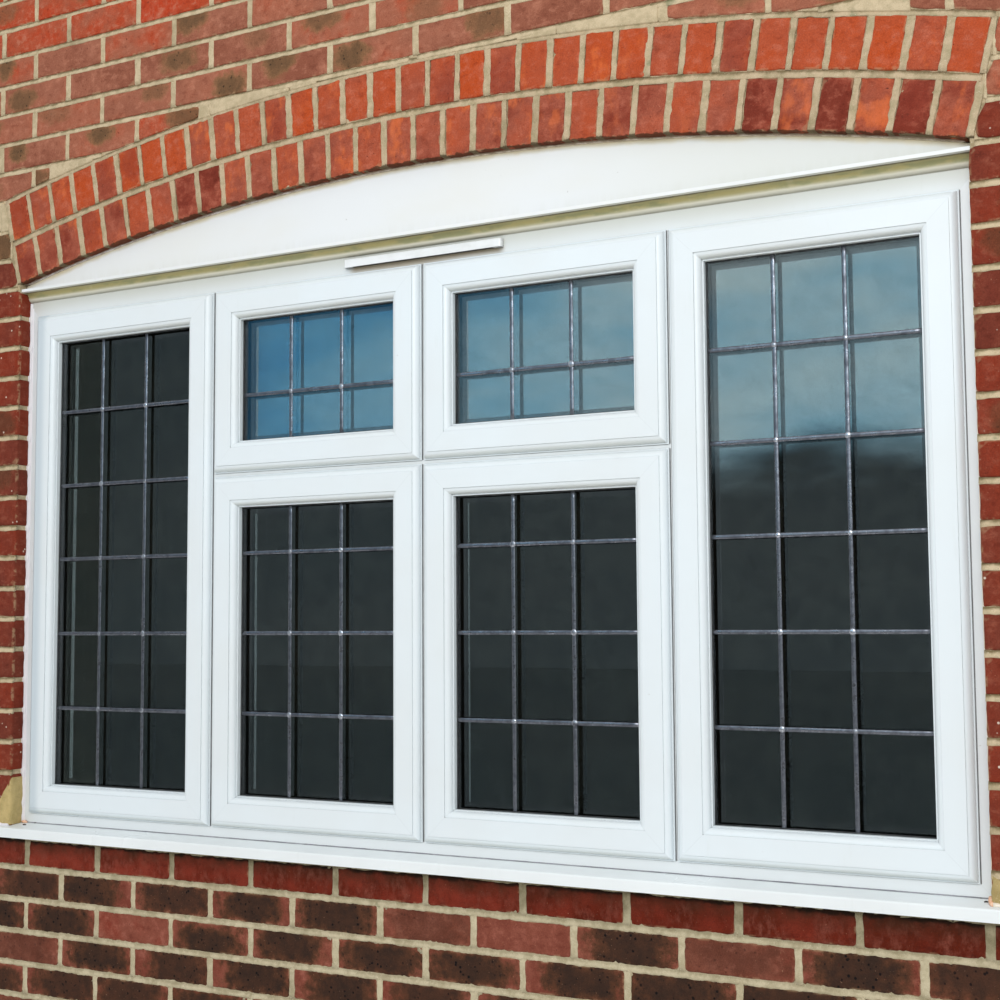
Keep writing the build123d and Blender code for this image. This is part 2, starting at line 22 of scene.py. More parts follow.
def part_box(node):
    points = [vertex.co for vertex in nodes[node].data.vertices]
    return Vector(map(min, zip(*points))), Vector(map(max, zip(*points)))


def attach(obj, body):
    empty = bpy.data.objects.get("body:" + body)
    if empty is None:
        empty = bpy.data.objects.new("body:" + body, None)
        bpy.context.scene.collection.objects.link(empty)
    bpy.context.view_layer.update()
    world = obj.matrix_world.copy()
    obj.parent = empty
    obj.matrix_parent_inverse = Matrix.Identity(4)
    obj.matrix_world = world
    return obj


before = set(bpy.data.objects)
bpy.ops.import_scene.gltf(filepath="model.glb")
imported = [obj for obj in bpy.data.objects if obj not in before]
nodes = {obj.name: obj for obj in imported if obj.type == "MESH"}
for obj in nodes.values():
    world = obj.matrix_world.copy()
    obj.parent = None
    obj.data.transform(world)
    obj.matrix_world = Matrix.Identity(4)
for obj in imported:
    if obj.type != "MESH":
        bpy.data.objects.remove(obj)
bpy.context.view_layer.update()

# %% [markdown]
# ## The maker's sizes
# Bricks are 215 x 65 x 102.5 mm on 10 mm joints, so a course is 75 mm and the bond repeats every
# 225 mm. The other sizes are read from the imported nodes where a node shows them, since a number
# copied by hand goes stale when the part changes.

# %% Sizes of the wall
BRICK = 0.215
HEADER = 0.1025
BED = 0.010
COURSE = 0.075
PITCH = BRICK + BED
COURSES_UNDER_SILL = 13
COURSES_IN_ALL = 42
FIRST_FULL_COURSE_OVER_ARCH = 32
SILL_BED_Z = COURSES_UNDER_SILL * COURSE

leaf_low, leaf_high = (Vector(corner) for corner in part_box("brick_apron"))
FACE_Y = leaf_low.y
HALF_BAY = leaf_high.x
HALF_OPENING = -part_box("brick_pier_left")[1][0]
print("face at y", round(FACE_Y, 5), "opening", 2 * HALF_OPENING, "bay", 2 * HALF_BAY)

# %% Sizes of the arch
CROWN_Z = 2.476
ARCH_RISE = 0.136
RING = 0.109
SKEWBACK_JOINT = 0.005
SPRINGING_Z = CROWN_Z - ARCH_RISE
INTRADOS = (HALF_OPENING ** 2 + ARCH_RISE ** 2) / (2 * ARCH_RISE)
ARCH_Z = CROWN_Z - INTRADOS
HALF_ANGLE = math.asin(HALF_OPENING / INTRADOS)
EXTRADOS = INTRADOS + 2 * RING
print("arch radius", round(INTRADOS, 4), "centre at z", round(ARCH_Z, 4))

# %% [markdown]
# ## A heap of clay, and a mesh from it
# A modeller could place one brick and copy it with an array, but then every brick is the same.
# Here each brick is drawn point by point into one heap, with its own noise, and the heap becomes
# one mesh per area of wall. Two point attributes travel with it: where a point lies on its own
# brick, and the luck of that brick in the kiln. Two numbers go along: how far it is from the
# brick's edge, and from the middle of its burn. The colours are worked out from those four.

# %% A heap that becomes a mesh
def bring_in(name, data):
    """A new object with this mesh, lamp or camera, linked into the scene."""
    obj = bpy.data.objects.new(name, data)
    bpy.context.collection.objects.link(obj)
    return obj


class Heap:
    """Points, faces and point attributes on their way into one mesh."""

    def __init__(self):
        self.points, self.faces = [], []
        self.on_face, self.luck, self.rim, self.from_burn = [], [], [], []

    def add(self, point, on_face=(0, 0, 0), luck=(0, 0, 0), rim=0.0, from_burn=9.0):
        """Puts one point down and gives its number."""
        self.points.append(tuple(point))
        self.on_face.extend(on_face)
        self.luck.extend(luck)
        self.rim.append(rim)
        self.from_burn.append(from_burn)
        return len(self.points) - 1

    def sleeve(self, rings, turned=False):
        """Faces from each closed ring of points to the next. turned winds them the other way."""
        for first, second in zip(rings, rings[1:]):
            for k, point in enumerate(first):
                n = (k + 1) % len(first)
                face = (point, first[n], second[n], second[k])
                self.faces.append((point, *face[:0:-1]) if turned else face)

    def skin(self, rings, turned=False):
        """A sleeve that is closed at both ends."""
        self.sleeve(rings, turned)
        ends = (rings[0], rings[-1][::-1]) if turned else (rings[0][::-1], rings[-1])
        self.faces.extend(tuple(end) for end in ends)

    def piece(self, name, finish, slot, smooth=True):
        """The heap as one object that rides on the part."""
        mesh = bpy.data.meshes.new(name)
        mesh.from_pydata(self.points, [], self.faces)
        for attribute, values in (("on_face", self.on_face), ("luck", self.luck)):
            mesh.attributes.new(attribute, "FLOAT_VECTOR", "POINT").data.foreach_set("vector", values)
        for attribute, values in (("rim", self.rim), ("from_burn", self.from_burn)):
            mesh.attributes.new(attribute, "FLOAT", "POINT").data.foreach_set("value", values)
        mesh.polygons.foreach_set("use_smooth", [smooth] * len(mesh.polygons))
        mesh.materials.append(finish)
        mesh.validate()
        sorter = bmesh.new()
        sorter.from_mesh(mesh)
        bmesh.ops.recalc_face_normals(sorter, faces=sorter.faces)
        sorter.to_mesh(mesh)
        sorter.free()
        obj = bring_in(name, mesh)
        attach(obj, "root")
        triangles = sum(len(p.vertices) - 2 for p in mesh.polygons)
        print(name, len(mesh.vertices), "points", triangles, "triangles")
        return obj


print("an empty heap has", len(Heap().points), "points")

# %% [markdown]
# ## Finishes as node trees
# A finish is a Principled shader with a few nodes before it. The bench below puts nodes down and
# wires them, so that a finish reads like a recipe: a first colour, then layers over it. Colours
# are written as they are seen on a screen, 0 to 255, and turned into the linear values that the
# renderer adds up.

# %% Colours as they are seen
def seen(colour):
    """Three numbers from 0 to 255, made linear. Anything else passes as it is."""
    if not isinstance(colour, tuple) or len(colour) != 3:
        return colour
    shares = [value / 255 for value in colour]
    return (*(s / 12.92 if s <= 0.04045 else ((s + 0.055) / 1.055) ** 2.4 for s in shares), 1.0)


print("white paint is", [round(v, 3) for v in seen((235, 240, 243))])


# %% The paint bench
class Bench:
    """One material: its nodes, its shader, and the colour that its layers add up to."""

    def __init__(self, name, **constants):
        self.material = bpy.data.materials.new(name)
        self.material.use_nodes = True
        self.tree = self.material.node_tree
        self.shader = self.tree.nodes["Principled BSDF"]
        for socket, value in constants.items():
            self.shader.inputs[socket.replace("_", " ")].default_value = value
        self.place = self.where = self.node("TexCoord", out="Object")
        self.colour = None

    def plug(self, value, socket):
        if isinstance(value, bpy.types.NodeSocket):
            self.tree.links.new(value, socket)
        else:
            socket.default_value = value

    def node(self, kind, inputs=(), out=0, **settings):
        node = self.tree.nodes.new("ShaderNode" + kind)
        for key, value in settings.items():
            setattr(node, key, value)
        for socket, value in dict(inputs).items():
            self.plug(value, node.inputs[socket])
        return node.outputs[out]

    def noise(self, scale, detail=4.0, roughness=0.55, stretch=None, where=None):
        """Clouds in the finish's own space, drawn out along an axis where stretch says so."""
        where = self.where if where is None else where
        where = self.stretch(where, stretch) if stretch else where
        inputs = {"Vector": where, "Scale": scale, "Detail": detail, "Roughness": roughness}
        return self.node("TexNoise", inputs)

    def cells(self, scale, randomness=1.0):
        """Distance from scattered points."""
        inputs = {"Vector": self.where, "Scale": scale, "Randomness": randomness}
        return self.node("TexVoronoi", inputs, out="Distance")

    def stretch(self, where, factors, shift=(0, 0, 0)):
        return self.node("VectorMath", {0: where, 1: factors, 2: shift}, operation="MULTIPLY_ADD")

    def sum(self, a, b, operation="ADD"):
        return self.node("Math", {0: a, 1: b}, operation=operation)

    def times(self, a, b):
        return self.sum(a, b, "MULTIPLY")

    def apart(self, a, b):
        """How far a is from b, either way."""
        return self.sum(self.sum(a, b, "SUBTRACT"), 0, "ABSOLUTE")

    def span(self, value, low, high, to_low=0.0, to_high=1.0):
        """Value from low to high, softly turned into to_low to to_high."""
        inputs = {"Value": value, "From Min": low, "From Max": high, "To Min": to_low, "To Max": to_high}
        return self.node("MapRange", inputs, interpolation_type="SMOOTHSTEP")

    def ragged(self, value, cloud, low, high, reach):
        """Value, pushed up and down by a cloud, so that an edge made from it isn't straight."""
        return self.sum(value, self.span(cloud, low, high, -reach, reach))

    def blend(self, amount, first, second, mode="MIX"):
        inputs = {"Factor": amount, 6: seen(first), 7: seen(second)}
        return self.node("Mix", inputs, out=2, data_type="RGBA", blend_type=mode)

    def over(self, amount, colour, mode="MIX"):
        """One more layer over the colour so far."""
        self.colour = self.blend(amount, self.colour, colour, mode)

    def ramp(self, value, stops):
        node = self.tree.nodes.new("ShaderNodeValToRGB")
        self.plug(value, node.inputs["Fac"])
        elements = node.color_ramp.elements
        elements[0].position, elements[1].position = stops[0][0], stops[-1][0]
        elements[0].color, elements[1].color = seen(stops[0][1]), seen(stops[-1][1])
        for position, colour in stops[1:-1]:
            elements.new(position).color = seen(colour)
        return node.outputs["Color"]

    def split(self, vector):
        node = self.tree.nodes.new("ShaderNodeSeparateXYZ")
        self.plug(vector, node.inputs[0])
        return node.outputs

    def given(self, name, out="Vector"):
        """A point attribute of the heap."""
        return self.node("Attribute", out=out, attribute_name=name)

    def hollow(self, reach):
        """How open a point is to the air around it, from 0 in a groove to 1 on a face."""
        return self.node("AmbientOcclusion", {"Distance": reach}, out="AO", samples=3)

    def arch_radius(self):
        """Distance from the line along Y that the arch is struck round."""
        x, _, z = self.split(self.place)
        flat = self.node("CombineXYZ", {0: x, 2: self.sum(z, ARCH_Z, "SUBTRACT")})
        return self.node("VectorMath", {0: flat}, out="Value", operation="LENGTH")

    def finish(self, height=None, strength=0.5, depth=0.001, roughness=None):
        """The material, with a relief as strong and deep as told."""
        self.plug(self.colour, self.shader.inputs["Base Color"])
        if roughness is not None:
            self.plug(roughness, self.shader.inputs["Roughness"])
        if height is not None:
            relief = self.node("Bump", {"Height": height, "Strength": strength, "Distance": depth})
            self.plug(relief, self.shader.inputs["Normal"])
        return self.material


print("the bench knows", len([tool for tool in dir(Bench) if tool[0] != "_"]), "tools")


# %% Finishes of two colours, and how they are put on
def mottled(name, first, second, cloud, relief=(), low=0.3, high=0.7, **constants):
    """Two colours mixed by a cloud from low to high. relief is the strength and depth it gives."""
    bench = Bench(name, **constants)
    mixed = bench.noise(*cloud)
    bench.colour = bench.blend(bench.span(mixed, low, high), first, second)
    return bench.finish(mixed if relief else None, *relief)


def coat(node_names, material):
    """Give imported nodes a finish."""
    for name in node_names:
        slots = nodes[name].data.materials
        slots.clear()
        slots.append(material)


print("two helpers for finishes")

# %% [markdown]
# ## Fired clay
# A stock brick is never one colour. Its body shifts from brick to brick, soft clouds run through
# one brick, oval burns lie where bricks touched in the kiln, and sand and small pits cover the
# face. An image could show one wall well, but it would repeat. Noise in each brick's own space
# never does, so the recipe lays nothing but noise over a ramp of body colours.

# %% A recipe for brick finishes
def sill_shade_and_dirt(bench, sill):
    """Dirt and painted shade that a sill at this level leaves on the face below it, with a painted shadow line on
    top.
    """
    level = bench.split(bench.place)[2]
    uneven = bench.span(bench.noise(26.0, 5.0, where=bench.place), 0.3, 0.7, 0.40, 1.0)
    dirt = bench.times(bench.span(level, sill - 0.050, sill - 0.006), uneven)
    # Dirt and painted shade of the sill darken a band of the face under it.
    bench.over(bench.times(dirt, 0.8), (52, 36, 22))
    # Painted shadow: a ragged near-black line just under the sill.
    edge = bench.ragged(level, bench.noise(45.0, 4.0, where=bench.place), 0.2, 0.8, 0.004)
    bench.over(bench.times(bench.span(edge, sill - 0.013, sill - 0.006), 0.85), (26, 22, 14))


def soffit_mould_and_shade(bench, cloud, far, near, colour):
    """Mould and painted shade on an arch's underside, from far to near the radius at which it is black."""
    # Mould with painted shade, darkest at the underside of the arch.
    radius = bench.ragged(bench.arch_radius(), cloud, 0.25, 0.75, 0.003)
    bench.over(bench.times(bench.span(radius, far, near), 0.8), colour)


def fired_clay(name, body, burnt, ring, core, pale, depth=0.0010, glow=0.0, sill=None, soffit=None, flecks=0.0):
    """Body colours by luck, a soft burn with a ring and dark pits, sand, pale patches and lime.

    sill is the level of a sill over the bricks, and soffit the radius of an arch's underside.
    """
    bench = Bench(name, Roughness=0.9, Specular_IOR_Level=0.12)
    tone_luck, burn_luck, own_luck = bench.split(bench.given("luck"))
    shift = bench.node("CombineXYZ", {0: own_luck, 1: own_luck, 2: own_luck})
    bench.where = bench.stretch(shift, (41.0, 23.0, 57.0), bench.given("on_face"))
    cloud = bench.noise(14.0)
    patch = bench.noise(42.0, 5.0, 0.62)
    drag = bench.noise(1.0, 5.0, 0.65, (70.0, 40.0, 40.0))
    blotch = bench.noise(46.0, 4.0, 0.6, (1.0, 1.0, 1.4))
    sand = bench.noise(420.0, 3.0, 0.6)

    # Body, bloom and pale patches.
    bench.colour = bench.ramp(bench.ragged(tone_luck, cloud, 0.25, 0.75, 0.20), body)
    bloom = bench.times(bench.span(drag, 0.40, 0.70, 0.0, 0.30), bench.span(cloud, 0.35, 0.65))
    bench.over(bloom, pale)
    patches = bench.span(blotch, 0.50, 0.72, 0.0, 0.42)
    if sill:
        patches = bench.times(patches, bench.span(tone_luck, 0.62, 0.48, 0.12, 1.0))
    bench.over(patches, pale)
    bench.over(bench.span(blotch, 0.44, 0.30, 0.0, 0.30), (150, 86, 66), "MULTIPLY")

    # The burn: a ring, a dark heart and holes in it.
    reach = bench.ragged(bench.given("from_burn", "Fac"), patch, 0.2, 0.8, 0.26)
    bench.over(bench.times(bench.span(reach, 1.15, 0.70), burn_luck), ring)
    deep = bench.times(bench.span(reach, 1.0, 0.42), burn_luck)
    bench.over(bench.times(deep, bench.span(patch, 0.3, 0.65, 1.0, 0.72)), burnt)
    chosen = bench.span(bench.noise(60.0, 1.0), 0.48, 0.56)
    holes = bench.times(bench.times(bench.span(bench.cells(92.0), 0.30, 0.18), chosen), deep)
    bench.over(holes, core)

    # Sand, specks, pits, and lime along the edge.
    bench.over(bench.span(sand, 0.3, 0.7, 0.30, 0.0), (120, 60, 44), "MULTIPLY")
    bench.over(bench.span(bench.noise(330.0, 1.0), 0.75, 0.80, 0.0, 0.30), (222, 176, 140))
    pits = bench.span(bench.noise(150.0, 2.0), 0.275, 0.240)
    bench.over(bench.times(pits, 0.75), (78, 36, 28))
    lime = bench.times(bench.span(bench.given("rim", "Fac"), 0.0060, 0.0008), bench.span(patch, 0.50, 0.62))
    bench.over(bench.times(lime, 0.45), (186, 160, 124))
    height = bench.sum(bench.times(patch, 0.9), bench.times(sand, 0.3))
    height = bench.sum(height, bench.times(bench.sum(pits, holes), -0.9))
    height = bench.sum(height, bench.sum(bench.times(drag, 0.3), bench.times(blotch, 0.5)))

    # What only some mixes have.
    if glow:
        warm = bench.span(bench.noise(19.0, 5.0, 0.6, (1.3, 1.0, 0.8)), 0.50, 0.68)
        warm = bench.times(warm, bench.span(own_luck, 0.35, 0.75))
        warm = bench.times(warm, bench.span(tone_luck, 0.10, 0.30))
        bench.over(bench.times(warm, glow), (226, 116, 62))
    if flecks:
        chosen = bench.span(bench.noise(30.0, 1.0), 0.52, 0.58)
        splash = bench.times(bench.span(bench.cells(55.0), 0.16, 0.08), chosen)
        bench.over(bench.times(splash, flecks), (226, 214, 196))
    if sill:
        sill_shade_and_dirt(bench, sill)
    if soffit:
        cloud = bench.noise(60.0, where=bench.place)
        soffit_mould_and_shade(bench, cloud, soffit + 0.0024, soffit + 0.0002, (66, 44, 28))
    return bench.finish(height, 0.75, depth, bench.span(sand, 0.2, 0.8, 0.85, 0.98))


print("one recipe for bricks")

# %% [markdown]
# ## Four mixes of clay
# The wall over the window is orange and pink with olive spots, the piers are a dark red, darkened
# further by painted shade, the arch was built of brighter bricks, and the bricks under the sill are
# purple with broad burns. One finish could carry all four by a number, but four materials are
# easier to change one by one.

# %% The clays
wall_clay = fired_clay(
    "wall_clay",
    body=(
        (0.0, (146, 88, 68)),
        (0.25, (162, 102, 80)),
        (0.5, (170, 102, 78)),
        (0.75, (182, 78, 48)),
        (1.0, (190, 68, 36)),
    ),
    burnt=(98, 76, 54),
    ring=(148, 110, 76),
    core=(60, 48, 36),
    pale=(206, 142, 116),
)
# The piers' dark body is partly their own dark red and partly painted shade.
pier_clay = fired_clay(
    "pier_clay",
    body=((0.0, (102, 48, 36)), (0.5, (120, 56, 42)), (1.0, (138, 54, 34))),
    burnt=(72, 56, 40),
    ring=(104, 72, 48),
    core=(44, 36, 28),
    pale=(160, 94, 74),
    flecks=0.8,
)
arch_clay = fired_clay(
    "arch_clay",
    body=(
        (0.0, (124, 52, 38)),
        (0.12, (138, 60, 44)),
        (0.3, (162, 86, 66)),
        (0.6, (180, 84, 54)),
        (1.0, (190, 80, 38)),
    ),
    burnt=(130, 54, 42),
    ring=(146, 60, 44),
    core=(80, 40, 32),
    pale=(204, 122, 98),
    depth=0.0014,
    glow=0.48,
    soffit=INTRADOS,
)
plinth_clay = fired_clay(
    "plinth_clay",
    body=(
        (0.0, (126, 66, 52)),
        (0.4, (142, 80, 64)),
        (0.65, (134, 52, 36)),
        (0.85, (106, 36, 20)),
        (1.0, (94, 32, 16)),
    ),
    burnt=(58, 42, 34),
    ring=(100, 64, 44),
    core=(24, 20, 20),
    pale=(184, 116, 98),
    sill=SILL_BED_Z,
)
print("clays:", ", ".join(clay.name for clay in (wall_clay, pier_clay, arch_clay, plinth_clay)))

# %% [markdown]
# ## Mortar
# Sand and lime, cream where it is dry and olive where algae has taken hold. The brick leaf of the
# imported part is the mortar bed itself, so it keeps its exact shape and gets this finish. The
# struck joints that show between the bricks are made further down, as geometry.

# %% A recipe for mortar
def mortar(name, dry, aged, grime_and_shade, upper_lip_shade_and_grime, sill=None, soffit=None):
    """On a struck joint, luck carries the place across it, so its deep upper side is darker: dirt, and painted shade
    under the brick above.
    """
    bench = Bench(name, Roughness=0.95, Specular_IOR_Level=0.15)
    patch = bench.noise(42.0, 5.0, 0.65)
    sand = bench.noise(560.0, 2.0)
    bench.colour = bench.blend(bench.span(patch, 0.35, 0.68), dry, aged)
    bench.over(bench.span(bench.noise(5.0, 5.0, 0.6), 0.54, 0.76, 0.0, 0.5), grime_and_shade)
    # Dirt and painted shade along the upper lip of each bed joint, under the brick above.
    across = bench.split(bench.given("luck"))[0]
    edge = bench.ragged(across, patch, 0.2, 0.8, 0.4)
    bench.over(bench.span(edge, -0.3, 0.7, 0.0, upper_lip_shade_and_grime), grime_and_shade)
    bench.over(bench.span(bench.noise(19.0, 3.0), 0.66, 0.74, 0.0, 0.5), (112, 124, 92))
    bench.over(bench.span(sand, 0.62, 0.72, 0.0, 0.40), (124, 100, 70))
    bench.over(bench.span(sand, 0.36, 0.28, 0.0, 0.5), (240, 232, 208))
    if sill:
        level = bench.split(bench.place)[2]
        dirt = bench.times(bench.span(level, sill - 0.085, sill - 0.030), bench.span(patch, 0.2, 0.8, 0.6, 1.0))
        bench.over(bench.times(dirt, 0.72), (92, 86, 60))
    if soffit:
        soffit_mould_and_shade(bench, patch, soffit + 0.0036, soffit + 0.0004, (74, 60, 38))
    return bench.finish(bench.sum(patch, bench.times(sand, 0.6)), 0.9, 0.0014)


upper_mortar = mortar("upper_mortar", (206, 188, 156), (182, 166, 134), (112, 98, 66), 0.85)
arch_mortar = mortar("arch_mortar", (196, 176, 146), (170, 156, 124), (108, 94, 64), 0.8, soffit=INTRADOS)
lower_mortar = mortar("lower_mortar", (202, 190, 160), (178, 166, 136), (116, 106, 78), 0.35, sill=SILL_BED_Z)
coat(["brick_pier_left", "brick_pier_right", "brick_spandrel"], upper_mortar)
coat(["arch_ring_inner", "arch_ring_outer"], arch_mortar)
coat(["brick_apron"], lower_mortar)
print("mortars:", ", ".join(mix.name for mix in (upper_mortar, arch_mortar, lower_mortar)))

# %% [markdown]
# ## Where a brick may lie
# The courses run through the whole bay, and the opening and the arch cut into them. A saw could
# do the cutting with a boolean, which leaves poor meshes. Each column of points of a brick asks
# instead how much of its course is wall at that place, so a cut brick keeps clean faces and
# even a rounded tip.

# %% The cut of the wall
JAMB_PROUD = 0.0012
JAMB_OVERHANG = 0.0028
JAMB_X = HALF_OPENING - JAMB_OVERHANG
JAMB_SLACK = 0.0005
ARCH_REACH = (EXTRADOS + BED) * math.sin(HALF_ANGLE)


def over_arch(x):
    """Lowest level at which a cut brick may sit on the arch, at x."""
    return ARCH_Z + math.sqrt((EXTRADOS + BED) ** 2 - x ** 2)


def under_skewback(x):
    """Highest level of a pier brick beside the arch's sloping end, at x."""
    return ARCH_Z + (abs(x) * math.cos(HALF_ANGLE) - SKEWBACK_JOINT) / math.sin(HALF_ANGLE)


def wall_at(x, low, high):
    """The part of a course from low to high that is brick at x."""
    if low < SILL_BED_Z or abs(x) >= ARCH_REACH:
        return low, high
    if high > over_arch(x):
        return max(low, over_arch(x)), high
    if abs(x) > JAMB_X - JAMB_SLACK and low < under_skewback(x):
        return low, min(high, under_skewback(x))
    return low, low


print("arch reaches", round(ARCH_REACH, 4), "m from the middle")

# %% [markdown]
# ## One brick
# Its face is a grid that is fine at the worn arrises and wider in the middle. Every point is
# moved a little: the arris is rounded, the corners are knocked off, the edge wanders, the face
# swells and is pitted. The sides run straight back into the mortar bed and the back is one face,
# so the brick is a closed body.

# %% Rounded edges and corners
ARRIS = (0.0, 0.0011, 0.0032)
WORN_ARRIS = (0.0, 0.0011, 0.0032, 0.0065, 0.0105)
ARRIS_RADIUS = 0.0034
CORNER_ROUND = 0.0045
WORN_ROUND = 0.0125


def stops(length, inner, ends=ARRIS):
    """Distances along one side of a face, close together at its two ends."""
    shrink = min(1.0, length / (6 * ends[-1]))
    edge = [d * shrink for d in ends]
    first, last = edge[-1], length - edge[-1]
    middle = [first + (last - first) * i / inner for i in range(1, inner)]
    return edge + middle + [length - d for d in reversed(edge)]


def arris_drop(distance):
    """How far a rounded edge lies behind the face, this far in from the edge."""
    inset = max(0.0, ARRIS_RADIUS - distance)
    return ARRIS_RADIUS - math.sqrt(max(0.0, ARRIS_RADIUS ** 2 - inset ** 2))


def knock_corner(to_side, to_bed, radius):
    """How far a point near a corner is pulled along and up, to round it."""
    if to_side >= radius or to_bed >= radius:
        return 0.0, 0.0
    out = Vector((radius - to_side, radius - to_bed))
    if out.length <= radius:
        return 0.0, 0.0
    pull = (out.length - radius) / out.length
    return out.x * pull, out.y * pull


print("a brick's length has", len(stops(BRICK, 14)), "columns of points")

# %% Draw a brick into the heap
BRICK_PROUD = 0.0032
BRICK_BACK = 0.100
SIDE_STEP = 0.009
EDGE_WANDER, WANDER_REACH = 0.0014, 0.006
CHIP_DEPTH, CHIP_REACH = 0.007, 0.012
DEEPEST_DROP = 0.0042
NO_BURN = (0.0, 0.0, 1.0, 1.0, 2.0)


def lay_brick(heap, length, height_at, place, luck, draw, across=14, up=5, relief=1.0, burn=NO_BURN,
              rounds=(CORNER_ROUND, CORNER_ROUND), ends=ARRIS):
    """One brick: height_at(a) gives its lowest and highest point at a, place(a, b, d) puts it in the wall.

    burn is the middle, half size and squareness of its burn, rounds the corner radius at its
    start and end, ends the first distances from an edge at which the face has points.
    """
    seed = Vector((draw.uniform(-40, 40), draw.uniform(-40, 40), draw.uniform(-40, 40)))
    tip = draw.gauss(0, 0.006)
    lean = draw.gauss(0, 0.003)
    proud = BRICK_PROUD + draw.gauss(0, 0.0005)
    middle = sum(height_at(length / 2)) / 2
    burn_a, burn_b, burn_wide, burn_high, square = burn

    def from_burn(a, b):
        along = abs(a - length / 2 - burn_a) / burn_wide
        over = abs(b - middle - burn_b) / burn_high
        return (along ** square + over ** square) ** (1 / square)

    def from_edges(a, rise, tall):
        return min(a, length - a), min(rise, tall - rise)

    def shaped(a, low, high, rise):
        """The point's place along and up the brick, with its edge wandering and its corners round."""
        b = low + rise
        to_side, to_bed = from_edges(a, rise, high - low)
        here = (seed + Vector((a, b, 0))) * 55
        wander = EDGE_WANDER * relief * max(0.0, 1 - min(to_side, to_bed) / WANDER_REACH)
        radius = rounds[0] if a < length / 2 else rounds[1]
        pull_a, pull_b = knock_corner(to_side, to_bed, min(radius, (high - low) * 0.48))
        new_a = a + wander * noise.noise(here)
        new_b = b + wander * noise.noise(here + Vector((9, 9, 9)))
        return (new_a + math.copysign(pull_a, length / 2 - a),
                new_b + math.copysign(pull_b, (high - low) / 2 - rise))

    def depth_at(a, b, to_side, to_bed):
        """How far the face lies behind the wall's own face here."""
        here = seed + Vector((a, b, 0))
        drop = min(DEEPEST_DROP, arris_drop(to_side) + arris_drop(to_bed))
        swell = 0.0009 * noise.noise(here * 17) + 0.0006 * noise.noise(here * 60)
        near_edge = max(0.0, 1 - min(to_side, to_bed) / CHIP_REACH)
        chip = max(0.0, noise.noise(here * 75 + Vector((3, 7, 1))) - 0.32) * CHIP_DEPTH * near_edge
        slope = tip * (b - middle) + lean * (a - length / 2)
        return -proud + drop + relief * (swell + chip) + slope

    def put(a, b, d, at, rim):
        """A point of the body at a and b. at is where it was before the edge wandered."""
        own = (at[0] - length / 2, d, at[1] - middle)
        return heap.add(place(a, b, d), own, luck, rim, from_burn(*at))

    grid, outline = [], {}
    for i, a in enumerate(stops(length, across, ends)):
        low, high = height_at(a)
        column = []
        for j, rise in enumerate(stops(high - low, up, ends)):
            b = low + rise
            to_side, to_bed = from_edges(a, rise, high - low)
            outline[i, j] = shaped(a, low, high, rise)
            d = depth_at(a, b, to_side, to_bed)
            column.append(put(*outline[i, j], d, (a, b), min(to_side, to_bed)))
        grid.append(column)
    last_a, last_b = len(grid) - 1, len(grid[0]) - 1
    for i, j in itertools.product(range(last_a), range(last_b)):
        heap.faces.append((grid[i][j], grid[i + 1][j], grid[i + 1][j + 1], grid[i][j + 1]))
    loop = [(i, 0) for i in range(last_a)] + [(last_a, j) for j in range(last_b)]
    loop += [(i, last_b) for i in range(last_a, 0, -1)] + [(0, j) for j in range(last_b, 0, -1)]
    ring = [grid[i][j] for i, j in loop]
    for back in (SIDE_STEP, BRICK_BACK):
        deeper = [put(*outline[corner], back, outline[corner], SIDE_STEP) for corner in loop]
        for k in range(len(loop)):
            n = (k + 1) % len(loop)
            heap.faces.append((ring[n], ring[k], deeper[k], deeper[n]))
        ring = deeper
    heap.faces.append(tuple(ring))


test = Heap()
lay_brick(test, BRICK, lambda a: (0, 0.065), lambda a, b, d: (a, d, b), (0, 0, 0), random.Random(1))
print("one brick is", sum(len(f) - 2 for f in test.faces), "triangles")

# %% [markdown]
# ## The bond
# Under the sill and over the window the wall is half bond. The two walls were set out apart from
# each other, so their upright joints don't line up. The piers are one and a half bricks wide,
# with a stretcher or a half brick at the jamb by turns.

# %% Upright joints of each course
LOWER_STARTS = (0.027, 0.1395)
UPPER_STARTS = (0.008, 0.1205)
SHORTEST_CUT = 0.03


def perpends(course):
    """Centres of the upright joints of one course, left to right."""
    if COURSES_UNDER_SILL <= course < FIRST_FULL_COURSE_OVER_ARCH:
        inner = HALF_OPENING + (BRICK if course % 2 else HEADER) + BED / 2
        return [-inner, inner]
    start = (LOWER_STARTS if course < COURSES_UNDER_SILL else UPPER_STARTS)[course % 2]
    places = [start + PITCH * k for k in range(-8, 9)]
    return [x for x in places if abs(x) < HALF_BAY - SHORTEST_CUT]


def brick_slots(course):
    """Left and right end of each brick of a course, before the arch cuts it."""
    end = HALF_BAY + JAMB_PROUD
    joints = perpends(course)
    if COURSES_UNDER_SILL <= course < FIRST_FULL_COURSE_OVER_ARCH:
        near, far = joints[1] - BED / 2, joints[1] + BED / 2
        return [(-end, -far), (-near, -JAMB_X), (JAMB_X, near), (far, end)]
    edges = [-end] + [x + side * BED / 2 for x in joints for side in (-1, 1)] + [end]
    return list(zip(edges[::2], edges[1::2]))


def course_levels(course):
    """Foot and top of the bricks of a course. The top course stands a little proud of the cut."""
    top = (course + 1) * COURSE
    return course * COURSE + BED, top + (JAMB_PROUD if course == COURSES_IN_ALL - 1 else 0.0)


print("bricks in the lowest courses:", [len(brick_slots(course)) for course in range(4)])

# %% [markdown]
# ## Cut bricks
# A bricklayer doesn't fit slivers of brick: where the arch leaves less than 29 mm of a course,
# the gap is filled with mortar. The cut is searched along the brick in small steps and then
# sharpened by halving, which works for any curve.

# %% How much of a brick the arch leaves
THINNEST_CUT = 0.029
CUT_STEPS, CUT_HALVINGS = 60, 14


